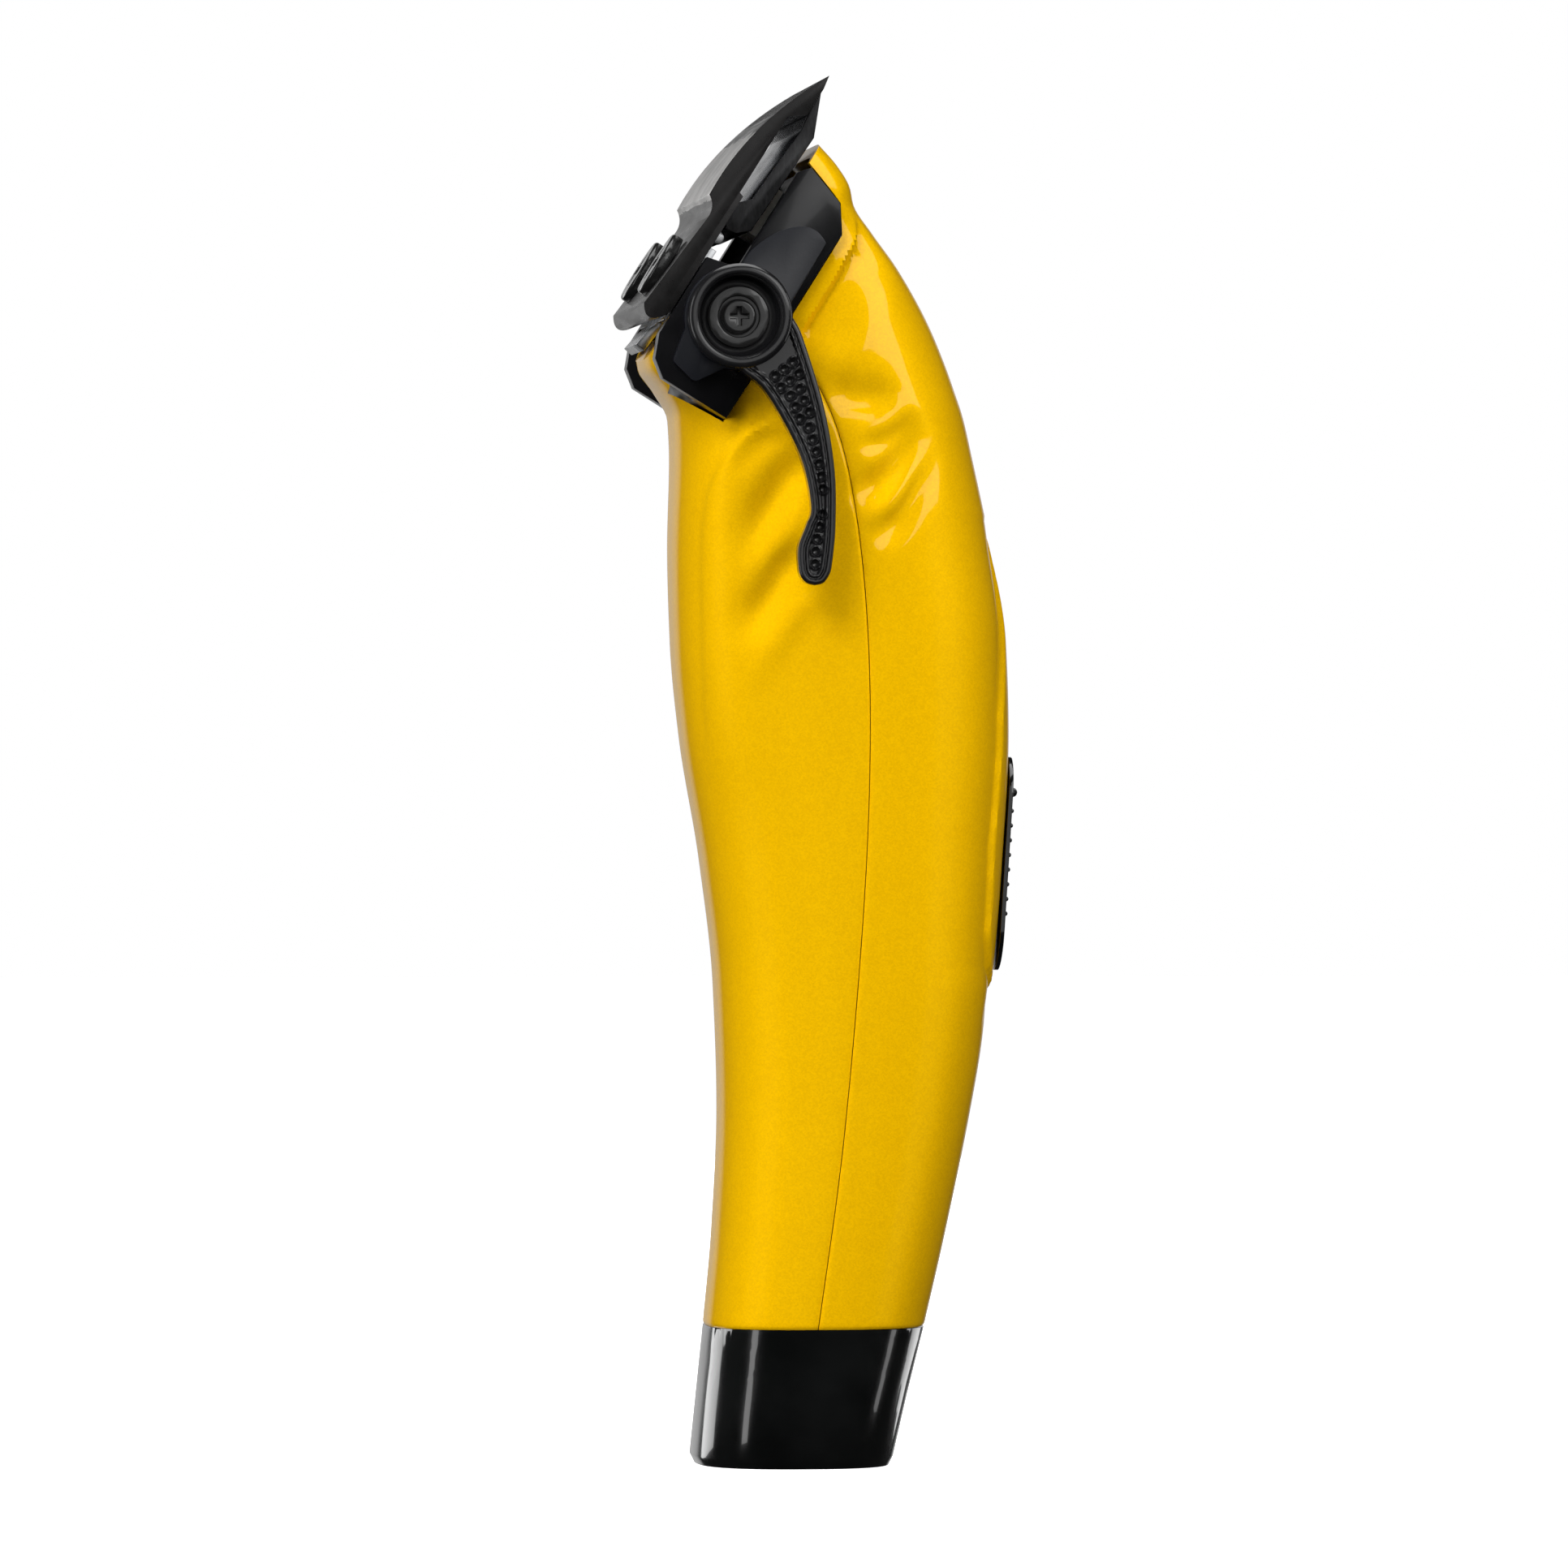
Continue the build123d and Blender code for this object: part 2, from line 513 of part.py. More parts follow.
def taper_lever():
    thumb_edge = Spline(*from_hub(ARM_THUMB_EDGE))
    skin_edge = Spline(*from_hub(ARM_SKIN_EDGE))
    tip = ThreePointArc(thumb_edge @ 1, from_hub([ARM_TIP_MIDDLE])[0], skin_edge @ 0)
    root = Polyline(skin_edge @ 1, (HUB_X, HUB_Z), thumb_edge @ 0)
    arm = slab(SIDE, make_face(thumb_edge + tip + skin_edge + root), *ARM_Y)
    hub = (HUB_X, HUB_Z)
    lever = arm + cylinder_y(SIDE, hub, HUB_R, *HUB_Y)
    lever -= cylinder_y(SIDE, hub, HUB_BORE_R, HUB_Y[0], HUB_FLOOR_Y)
    return lever - cylinder_y(SIDE, hub, LEVER_SCREW_R + 0.1, HUB_FLOOR_Y, HUB_Y[1])


def lever_washer():
    hub = (HUB_X, HUB_Z)
    ring_disc = cylinder_y(SIDE, hub, WASHER_R, HUB_FLOOR_Y - WASHER_THICK, HUB_FLOOR_Y)
    return ring_disc - cylinder_y(SIDE, hub, WASHER_BORE_R, HUB_FLOOR_Y - 2, HUB_FLOOR_Y + 1)


def lever_screw():
    place = Plane(origin=(HUB_X, HUB_FLOOR_Y, HUB_Z), x_dir=(1, 0, 0), z_dir=(0, 1, 0))
    return place * screw(LEVER_SCREW_HEAD_R, 1.4, LEVER_SCREW_R, 6.5)


def cam_pin_place(turn_degrees):
    """Where the cam pin stands in the blade frame, for a lever turn from mid-stroke."""
    turn = math.radians(turn_degrees)
    return HUB_U - CAM_RADIUS * math.sin(turn), HUB_V - CAM_RADIUS * math.cos(turn)


def lever_cam():
    hub = (HUB_U, HUB_V)
    cam = cylinder_y(BLADE, hub, PIVOT_R, HUB_Y[1], CAM_FLANGE_Y[0])
    cam += cylinder_y(BLADE, hub, CAM_FLANGE_R, *CAM_FLANGE_Y)
    cam += cylinder_y(BLADE, cam_pin_place(-LEVER_SWING / 2), CAM_PIN_R, CAM_FLANGE_Y[1], CAM_PIN_END_Y)
    return cam - cylinder_y(BLADE, hub, LEVER_SCREW_R, HUB_Y[1], HUB_Y[1] + 5.2)


# ================================================================== motor
def drive_arm():
    flat_end = ARM_LENGTH - ARM_PLATE_END
    blade = make_face(Polyline((-5.0, YOKE_Y[1]), (5.0, YOKE_Y[1]), (5.0, 4.0), (2.7, flat_end),
                               (-2.7, flat_end), (-5.0, 4.0), close=True))
    arm = extrude(blade, amount=ARM_HALF_THICK, both=True)
    arm += Cylinder(ARM_HUB_R, 2 * ARM_HALF_THICK + 2)
    arm += box((-LUG_HALF, LUG_HALF), LUG_Y, (-ARM_HALF_THICK, ARM_HALF_THICK))
    neck = Rot(-90, 0, 0) * Cylinder(NECK_R, ARM_PLATE_END + 1)
    arm += Pos(0, flat_end + ARM_PLATE_END / 2 - 0.5, 0) * neck
    arm += Pos(0, ARM_LENGTH, 0) * Sphere(BALL_R)
    return MOTOR * (arm - Cylinder(BUSH_R, 20))


def pivot_bush():
    return MOTOR * (Cylinder(BUSH_R, 2 * ARM_HALF_THICK + 2) - Cylinder(PIN_R + RUNNING_GAP, 20))


def pivot_pin():
    return MOTOR * Cylinder(PIN_R, 2 * PLATE_Z[1])


def armature():
    return MOTOR * box((-12, 12), YOKE_Y, (-4, 4))


def arm_magnets():
    return MOTOR * (box((-11.5, -2.0), MAGNET_Y, (-4, 4)) + box((2.0, 11.5), MAGNET_Y, (-4, 4)))


def motor_core():
    """E-shaped stack of laminations."""
    thick = (-CORE_THICK, CORE_THICK)
    core = box((-CORE_HALF, CORE_HALF), (CORE_BASE, CORE_BACK), thick)
    core += box((-CORE_LEG, CORE_LEG), (CORE_BACK, CORE_TOP), thick)
    for low, high in ((-CORE_HALF, -CORE_OUTER_LEG), (CORE_OUTER_LEG, CORE_HALF)):
        core += box((low, high), (CORE_BACK, CORE_TOP), thick)
    for side in (-1, 1):
        core -= Pos(side * LAMINATION_SCREW[0], LAMINATION_SCREW[1], 0) * Cylinder(1.3, 20)
    return MOTOR * core


def coil_bobbin():
    wide = (-COIL_HALF - 0.2, COIL_HALF + 0.2)
    bobbin = box(wide, (-23.1, -22.3), wide) + box(wide, (-13.6, -12.8), wide)
    bobbin += box((-4.4, 4.4), (-22.3, -13.6), (-5.3, 5.3))
    return MOTOR * (bobbin - box((-CORE_LEG - 0.05, CORE_LEG + 0.05), (-30, 0), (-4.45, 4.45)))


def motor_coil():
    winding = Rot(-90, 0, 0) * extrude(RectangleRounded(2 * COIL_HALF, 2 * COIL_HALF, 2.5), amount=8.7)
    winding = Pos(0, -22.3, 0) * winding
    return MOTOR * (winding - box((-4.4, 4.4), (-30, 0), (-5.3, 5.3)))


def motor_frame():
    """Two side plates with a window for the coil, joined by the two spring bridges."""
    low, high = PLATE_Z
    frame = Part()
    for z in ((low, high), (-high, -low)):
        plate = box((-CORE_HALF, CORE_HALF), (CORE_BASE, 4.2), z)
        for x in HORN_X:
            plate += box(x, (4.0, BRIDGE_Y[1]), z)
        frame += plate - box((-8.3, 8.3), (-23.4, -12.5), z)
    for x in HORN_X:
        frame += box(x, BRIDGE_Y, (-low, low))
    for side in (-1, 1):
        frame -= Pos(side * LAMINATION_SCREW[0], LAMINATION_SCREW[1], 0) * Cylinder(1.3, 20)
    return MOTOR * (frame - Cylinder(PIN_R, 20))


def motor_screws():
    one = screw(2.2, 1.2, 1.25, 2 * PLATE_Z[1])
    x, y = LAMINATION_SCREW
    return MOTOR * (Pos(-x, y, -PLATE_Z[1]) * one + Pos(x, y, -PLATE_Z[1]) * one)


def return_springs():
    """The two springs that centre the drive arm, each as its hollow envelope."""
    low, high = LUG_Y[1], SPRING_TOP
    tube = Cylinder(SPRING_R, high - low) - Cylinder(SPRING_R - SPRING_WIRE, high - low)
    upright = Rot(-90, 0, 0) * tube
    middle = (low + high) / 2
    return MOTOR * (Pos(-SPRING_X, middle, 0) * upright + Pos(SPRING_X, middle, 0) * upright)


# ================================================================== battery and electronics
def battery_cell():
    low, high = CELL_Z
    return Pos(CELL_X, 0, (low + high) / 2) * Cylinder(CELL_R, high - low)


def battery_tabs():
    low, high = CELL_Z
    top = box((CELL_X - 3, CELL_X + 3), (-3, 3), (high, high + 0.3))
    return top + box((CELL_X - 3, CELL_X + 3), (-3, 3), (low - 0.3, low))


def battery_cradle():
    """Open trough round the cell, with the motor's seat on its top."""
    x_low, x_high, half, z_low, z_high = CRADLE
    cradle = box((x_low, x_high), (-half, half), (z_low, z_high))
    low, high = CELL_Z
    room = Pos(CELL_X, 0, (low + high) / 2) * Cylinder(CELL_R + 0.15, high - low + 0.8)
    cradle -= room
    cradle -= box((x_low - 1, CELL_X), (-CELL_R - 0.15, CELL_R + 0.15), (low - 0.4, high + 0.4))
    cradle -= box((CELL_X, x_high + 1), (-5, 5), (low + 8, high - 8))
    seat = box((-11, 11), (CORE_BASE - 5.5, CORE_BASE), (-CORE_THICK, CORE_THICK))
    return (cradle + MOTOR * seat) & skin_loft(BODY_ROWS, WALL + 0.3)


def circuit_board():
    return box(BOARD_X, (-BOARD_HALF, BOARD_HALF), BOARD_Z)


def board_parts():
    """Controller, regulator, capacitor and the two lead sockets."""
    face = BOARD_X[1]
    back = BOARD_X[0]
    parts = box((face, face + 1.0), (-3.5, 3.5), (58, 65))
    parts += box((face, face + 1.6), (3.8, 7.2), (66, 70))
    parts += box((face, face + 1.8), (-7.4, -3.9), (86, 92))
    parts += box((back - 0.9, back), (-2.5, 2.5), (88, 94))
    return parts + Pos(face + 1.4, -5.6, 69) * Rot(90, 0, 0) * Cylinder(1.4, 3.2)


def slide_switch():
    """The small switch body on the board, with its tongue beside the pad's stem."""
    face = BOARD_X[1]
    body = box((face, face + 2.2), (-2.6, 2.6), (72.5, 83.5))
    return body - box((face + 1.2, face + 3), (-1.5, 1.5), (73.6, 82.6))


def switch_slider():
    """Thumb pad with gripping ribs, and the stem that goes through the shell's slot."""
    ends = SLIDER_HALF - 0.1
    outline = Pos(0, SLIDER_LENGTH / 2) * RectangleRounded(2 * SLIDER_HALF, SLIDER_LENGTH, ends)
    turned = Plane(origin=(0, 0, 0), x_dir=(0, 1, 0), z_dir=(1, 0, 0))
    pad = turned * extrude(outline, amount=SLIDER_THICK, dir=(0, 0, 1))
    bead = Rot(90, 0, 0) * Cylinder(SLIDER_BEAD_R, 2 * SLIDER_HALF - 2.4)
    pad += Pos(SLIDER_BEAD_R, 0, SLIDER_LENGTH - 4.6) * bead
    for index in range(8):
        rib = Rot(90, 0, 0) * Cylinder(SLIDER_RIB_R, 2 * SLIDER_HALF - 1.4)
        pad += Pos(SLIDER_THICK, 0, 7.4 + 1.9 * index) * rib
    stem_z = (STEM_AT - STEM_LENGTH / 2, STEM_AT + STEM_LENGTH / 2)
    stem = box((-4.2, 0.1), (-STEM_HALF, STEM_HALF), stem_z)
    stem += box((-5.9, -4.2), (-1.2, 1.2), (STEM_AT - 1.2, STEM_AT + 1.2))
    return SLIDER * (pad + stem)


# ================================================================== write every node
front_shell, rear_shell = shell_pair()
NODES = {
    "front_shell": front_shell,
    "rear_shell": rear_shell,
    "base_cap": base_cap(),
    "base_plate": base_plate(),
    "base_screws": base_screws(),
    "charge_port": charge_port(),
    "port_board": port_board(),
    "head_frame": head_frame(),
    "side_plate_lever": side_plate(True),
    "side_plate_plain": side_plate(False),
    "head_screws": head_screws(),
    "fixed_blade": fixed_blade(),
    "cutter_guide": cutter_guide(),
    "blade_screws": blade_screws(),
    "blade_bracket": blade_bracket(),
    "moving_cutter": moving_cutter(),
    "cutter_block": cutter_block(),
    "taper_lever": taper_lever(),
    "lever_washer": lever_washer(),
    "lever_screw": lever_screw(),
    "lever_cam": lever_cam(),
    "drive_arm": drive_arm(),
    "pivot_bush": pivot_bush(),
    "pivot_pin": pivot_pin(),
    "armature": armature(),
    "arm_magnets": arm_magnets(),
    "motor_core": motor_core(),
    "coil_bobbin": coil_bobbin(),
    "motor_coil": motor_coil(),
    "motor_frame": motor_frame(),
    "motor_screws": motor_screws(),
    "return_springs": return_springs(),
    "battery_cell": battery_cell(),
    "battery_tabs": battery_tabs(),
    "battery_cradle": battery_cradle(),
    "circuit_board": circuit_board(),
    "board_parts": board_parts(),
    "slide_switch": slide_switch(),
    "switch_slider": switch_slider(),
}

os.makedirs("parts", exist_ok=True)
for name, shape in NODES.items():
    export_step(shape, f"parts/{name}.step")
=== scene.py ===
import bpy
import bmesh
import json
import math
import numpy as np
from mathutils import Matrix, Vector


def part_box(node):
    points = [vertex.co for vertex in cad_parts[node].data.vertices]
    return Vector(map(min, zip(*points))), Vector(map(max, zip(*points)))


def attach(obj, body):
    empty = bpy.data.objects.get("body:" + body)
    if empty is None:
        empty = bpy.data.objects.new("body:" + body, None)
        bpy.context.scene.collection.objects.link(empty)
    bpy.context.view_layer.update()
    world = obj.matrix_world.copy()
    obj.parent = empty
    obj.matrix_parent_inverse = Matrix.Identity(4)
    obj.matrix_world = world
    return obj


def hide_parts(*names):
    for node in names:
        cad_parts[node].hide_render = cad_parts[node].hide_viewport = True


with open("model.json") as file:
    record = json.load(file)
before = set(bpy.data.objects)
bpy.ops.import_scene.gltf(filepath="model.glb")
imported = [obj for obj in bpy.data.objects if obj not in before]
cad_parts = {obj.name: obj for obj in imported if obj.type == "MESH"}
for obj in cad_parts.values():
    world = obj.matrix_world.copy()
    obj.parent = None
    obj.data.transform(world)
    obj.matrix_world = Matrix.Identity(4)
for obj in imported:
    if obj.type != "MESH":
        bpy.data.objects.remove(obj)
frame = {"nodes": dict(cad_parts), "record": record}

# Looks of the hair clipper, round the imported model. Lengths are written in millimetres and
# turned to metres as meshes are made. X runs from the skin side to the thumb side, the taper
# lever is on -Y, and Z is up.
MM = 0.001
MERGE_GAP = 0.001                   # vertices of a CAD mesh closer than this are one
FLAT_TURN = 0.8                     # faces that turn less than this, in degrees, become one
SHARP_TURN, SHELL_SHARP_TURN = 40, 32   # edges that turn more than this stay sharp
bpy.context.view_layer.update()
BODIES = frame["record"]["behaviour"]["bodies"]
BODY_OF = {node: body for body, nodes in BODIES.items() for node in nodes}


# ================================================================== small tools
def to_array(points):
    return np.array(points, float)


def smoothstep(low, high, value):
    share = np.clip((value - low) / (high - low), 0.0, 1.0)
    return share * share * (3 - 2 * share)


def gauss(distance, width):
    return np.exp(-(distance / width) ** 2)


def curve_through(points, per_span=12):
    """Points of a Catmull-Rom curve through the given ones."""
    ends = [2 * points[0] - points[1], *points, 2 * points[-1] - points[-2]]
    made = []
    for a, b, c, d in zip(ends, ends[1:], ends[2:], ends[3:]):
        for t in np.linspace(0, 1, per_span, endpoint=False):
            made.append(0.5 * (2 * b + (c - a) * t + (2 * a - 5 * b + 4 * c - d) * t * t
                               + (3 * b - a - 3 * c + d) * t ** 3))
    return np.array([*made, points[-1]])


def along(points, shares):
    """Points at the given shares of a polyline's length."""
    steps = np.linalg.norm(np.diff(points, axis=0), axis=1)
    travel = np.concatenate([[0], np.cumsum(steps)])
    shares = np.asarray(shares) * travel[-1]
    return np.stack([np.interp(shares, travel, column) for column in points.T], axis=-1)


def distance_to_line(points, line):
    """Distance of each point from a polyline, and the share of the line where it is nearest."""
    best = np.full(len(points), 1e9)
    where = np.zeros(len(points))
    count = len(line) - 1
    for index in range(count):
        a, b = line[index], line[index + 1]
        edge = b - a
        share = np.clip(((points - a) @ edge) / max(edge @ edge, 1e-12), 0, 1)
        gap = np.linalg.norm(points - a - share[:, None] * edge, axis=1)
        closer = gap < best
        best = np.where(closer, gap, best)
        where = np.where(closer, (index + share) / count, where)
    return best, where


def make_object(name, vertices, faces):
    mesh = bpy.data.meshes.new(name)
    mesh.from_pydata([tuple(c * MM for c in v) for v in vertices], [], faces)
    made = bmesh.new()
    made.from_mesh(mesh)
    bmesh.ops.recalc_face_normals(made, faces=made.faces)
    made.to_mesh(mesh)
    made.free()
    piece = bpy.data.objects.new(name, mesh)
    bpy.context.scene.collection.objects.link(piece)
    return piece


def bake_modifiers(piece):
    """Replaces a piece's mesh by the result of its modifiers."""
    bpy.context.view_layer.update()
    evaluated = piece.evaluated_get(bpy.context.evaluated_depsgraph_get())
    mesh = bpy.data.meshes.new_from_object(evaluated)
    piece.modifiers.clear()
    piece.data = mesh


def smooth(piece, degrees=SHARP_TURN):
    piece.data.shade_smooth()
    piece.data.set_sharp_from_angle(angle=math.radians(degrees))


def bevelled(piece, width, segments=2, degrees=30):
    modifier = piece.modifiers.new("edges", "BEVEL")
    modifier.width = width * MM
    modifier.segments = segments
    modifier.limit_method = "ANGLE"
    modifier.angle_limit = math.radians(degrees)
    modifier.harden_normals = False
    modifier.use_clamp_overlap = True


def finish_piece(piece, body, slot, material, *nodes):
    piece.data.materials.clear()
    piece.data.materials.append(material)
    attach(piece, body)
    if nodes:
        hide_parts(*nodes)
    return piece


def grid_faces(rows, columns, offset=0, closed=False):
    faces = []
    last = columns if closed else columns - 1
    for r in range(rows - 1):
        for c in range(last):
            a = offset + r * columns + c
            b = offset + r * columns + (c + 1) % columns
            faces.append((a, b, b + columns, a + columns))
    return faces


def lathe(profile, place, turns=64):
    """A closed solid of revolution. profile holds (radius, travel); place(r, angle, travel)."""
    vertices = []
    for radius, travel in profile:
        for step in range(turns):
            vertices.append(place(radius, 2 * math.pi * step / turns, travel))
    faces = grid_faces(len(profile), turns, closed=True)
    first = list(range(turns))
    last = [(len(profile) - 1) * turns + step for step in range(turns)]
    return vertices, faces + [tuple(first), tuple(last)]


# ================================================================== materials
def add(tree, kind, inputs=None, **settings):
    made = tree.nodes.new(kind)
    for key, value in settings.items():
        setattr(made, key, value)
    for key, value in (inputs or {}).items():
        if isinstance(value, bpy.types.NodeSocket):
            tree.links.new(value, made.inputs[key])
        else:
            made.inputs[key].default_value = value
    return made


def new_material(name, **surface):
    material = bpy.data.materials.new(name)
    material.use_nodes = True
    tree = material.node_tree
    shader = tree.nodes["Principled BSDF"]
    for key, value in surface.items():
        shader.inputs[key.replace("_", " ")].default_value = value
    return material, tree, shader


def noise(tree, scale, detail=3.0, stretch=(1, 1, 1), roughness=0.5):
    place = add(tree, "ShaderNodeTexCoord")
    mapping = add(tree, "ShaderNodeMapping", {"Vector": place.outputs["Object"], "Scale": stretch})
    made = add(tree, "ShaderNodeTexNoise", {"Vector": mapping.outputs["Vector"], "Scale": scale,
                                            "Detail": detail, "Roughness": roughness})
    return made.outputs["Fac"]


def ramp(tree, value, low, high, low_value, high_value):
    made = add(tree, "ShaderNodeMapRange", {"Value": value, "From Min": low, "From Max": high,
                                            "To Min": low_value, "To Max": high_value})
    return made.outputs["Result"]


def blend_colours(tree, factor, first, second):
    made = add(tree, "ShaderNodeMix", data_type="RGBA")
    tree.links.new(factor, made.inputs[0])
    made.inputs[6].default_value = (*first, 1)
    made.inputs[7].default_value = (*second, 1)
    return made.outputs[2]


def bump(tree, shader, height, strength, distance):
    made = add(tree, "ShaderNodeBump", {"Height": height, "Strength": strength,
                                        "Distance": distance * MM})
    tree.links.new(made.outputs["Normal"], shader.inputs["Normal"])


def pearl_lacquer():
    """Yellow pearl lacquer: fine bright flakes under a clear coat."""
    material, tree, shader = new_material("pearl_yellow_lacquer", Metallic=0.22, Specular_IOR_Level=0.0,
                                          Coat_Weight=0.75, Coat_Roughness=0.05, Coat_IOR=1.5)
    place = add(tree, "ShaderNodeTexCoord")
    flakes = add(tree, "ShaderNodeTexVoronoi", {"Vector": place.outputs["Object"], "Scale": 5200.0})
    flake = add(tree, "ShaderNodeSeparateColor", {"Color": flakes.outputs["Color"]})
    cloud = noise(tree, 900.0, 2.0)
    mixed = add(tree, "ShaderNodeMath", {0: flake.outputs["Red"], 1: 0.5}, operation="MULTIPLY")
    soft_cloud = ramp(tree, cloud, 0.0, 1.0, 0.1, 0.4)
    mixed = add(tree, "ShaderNodeMath", {0: mixed.outputs[0], 1: soft_cloud}, operation="ADD")
    share = ramp(tree, mixed.outputs[0], -0.1, 1.1, 0.0, 1.0)
    colour = blend_colours(tree, share, YELLOW_DEEP, YELLOW_BRIGHT)
    tree.links.new(colour, shader.inputs["Base Color"])
    rough = ramp(tree, flake.outputs["Green"], 0.0, 1.0, 0.34, 0.5)
    tree.links.new(rough, shader.inputs["Roughness"])
    bump(tree, shader, flake.outputs["Blue"], 0.05, 0.02)
    return material


def moulded(name, colour, roughness, grain=2500.0, depth=0.03, strength=0.25, coat=0.0, coat_rough=0.1,
            lift=1.5):
    """Moulded or coated black: fine texture, slight mottling and uneven gloss."""
    material, tree, shader = new_material(name, Coat_Weight=coat, Coat_Roughness=coat_rough)
    lighter = tuple(min(1.0, c * lift + 0.002) for c in colour)
    mottle = noise(tree, 140.0, 5.0)
    tree.links.new(blend_colours(tree, ramp(tree, mottle, 0.35, 0.7, 0, 1), colour, lighter),
                   shader.inputs["Base Color"])
    tree.links.new(ramp(tree, noise(tree, 90.0, 4.0), 0.3, 0.7, roughness * 0.85, roughness * 1.2),
                   shader.inputs["Roughness"])
    bump(tree, shader, noise(tree, grain, 2.0), strength, depth)
    return material


def steel(name, colour, roughness, stretch=(60, 900, 60), metallic=1.0, depth=0.01, strength=0.35,
          contrast=0.35):
    """Ground or plated steel, its scratches drawn out across the stretch."""
    material, tree, shader = new_material(name, Metallic=metallic)
    streaks = noise(tree, 1.0, 4.0, stretch, 0.65)
    cloud = noise(tree, 180.0, 4.0)
    darker = tuple(c * (1 - contrast) for c in colour)
    mixed = add(tree, "ShaderNodeMath", {0: streaks, 1: cloud}, operation="ADD")
    tree.links.new(blend_colours(tree, ramp(tree, mixed.outputs[0], 0.7, 1.3, 0, 1), darker, colour),
                   shader.inputs["Base Color"])
    tree.links.new(ramp(tree, streaks, 0.3, 0.7, roughness * 0.75, roughness * 1.3),
                   shader.inputs["Roughness"])
    bump(tree, shader, streaks, strength, depth)
    return material


def wound_copper():
    """Enamelled wire, each turn a fine ridge, darker in the grooves between turns and lighter on the
    crests: painted shade and a painted highlight.
    """
    material, tree, shader = new_material("enamelled_copper", Metallic=0.9, Roughness=0.3)
    place = add(tree, "ShaderNodeTexCoord")
    turns = add(tree, "ShaderNodeTexWave", {"Vector": place.outputs["Object"], "Scale": 900.0,
                                            "Distortion": 0.4}, bands_direction="Z")
    # the colour follows the ridges: painted shade in the grooves between turns, a painted highlight along
    # each crest
    tree.links.new(blend_colours(tree, turns.outputs["Fac"], (0.32, 0.09, 0.03), (0.8, 0.33, 0.14)),
                   shader.inputs["Base Color"])
    bump(tree, shader, turns.outputs["Fac"], 0.8, 0.1)
    return material


YELLOW_DEEP = (0.78, 0.40, 0.0)
YELLOW_BRIGHT = (1.0, 0.585, 0.0)
PEARL = pearl_lacquer()
BLACK_GLOSS = moulded("black_gloss_cap", (0.0015, 0.0018, 0.0018), 0.18, 400.0, 0.01, 0.05, 1.0, 0.02)
BLACK_HEAD = moulded("black_head_moulding", (0.002, 0.002, 0.0025), 0.32, 900.0, 0.02, 0.12, 0.25, 0.1)
BLACK_LEAF = moulded("black_leaf_satin", (0.003, 0.0035, 0.0055), 0.34, 3200.0, 0.03, 0.25)
BLACK_LEVER = moulded("black_lever_coat", (0.004, 0.004, 0.0045), 0.3, 1800.0, 0.02, 0.1, 0.9, 0.08)
BLACK_SCREW = moulded("black_oxide", (0.004, 0.004, 0.004), 0.3, 1500.0, 0.03, 0.2, 0.9, 0.1)
BLADE_BLACK = steel("black_coated_blade", (0.034, 0.033, 0.033), 0.3, (500, 60, 500), 0.7)
CUTTER_BLACK = steel("black_coated_cutter", (0.06, 0.06, 0.062), 0.36, (2600, 40, 700), 0.8, 0.02,
                     0.8, 0.6)
# painted highlight: bright steel for the fixed blade's flat facet, standing in for the light that facet
# reflects
FACET_PAINTED_HIGHLIGHT = steel("blade_facet_painted_highlight", (0.62, 0.61, 0.6), 0.4, (2600, 2600, 2600), 0.85, 0.04, 0.9, 0.6)
# bright steel for the blades' faces inside the gap between them: bare steel, its brightness also a
# painted highlight for the light through the gap
GAP_STEEL_PAINTED_HIGHLIGHT = steel("blade_gap_steel_painted_highlight", (0.6, 0.61, 0.63), 0.22, (500, 60, 500), 1.0, 0.005, 0.2, 0.2)
PLATED = steel("zinc_plated_steel", (0.62, 0.63, 0.64), 0.28, (90, 300, 90))
BRASS = steel("turned_brass", (0.74, 0.52, 0.2), 0.25, (300, 80, 300))
NICKEL = steel("nickel_plate", (0.72, 0.7, 0.67), 0.18, (60, 60, 60))
LAMINATED = steel("varnished_laminations", (0.2, 0.2, 0.22), 0.45, (2, 2, 2600), 0.6, 0.05, 0.8)
NYLON = moulded("natural_nylon", (0.68, 0.66, 0.6), 0.45, 900.0, 0.03, 0.2, lift=1.12)
SLEEVE = moulded("cell_sleeve", (0.03, 0.1, 0.28), 0.25, 500.0, 0.02, 0.1, 0.5, 0.1)
BOARD = moulded("solder_mask", (0.01, 0.11, 0.04), 0.35, 1200.0, 0.02, 0.2, 0.4, 0.2)
CHIP = moulded("chip_moulding", (0.012, 0.012, 0.013), 0.5, 2600.0, 0.03, 0.3)
COPPER = wound_copper()
PLAIN_BLACK = moulded("black_plain_moulding", (0.012, 0.012, 0.013), 0.5, 1500.0, 0.03, 0.3)


# ================================================================== body shells
JOINT_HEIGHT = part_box("base_cap")[0].z / MM + 17.8
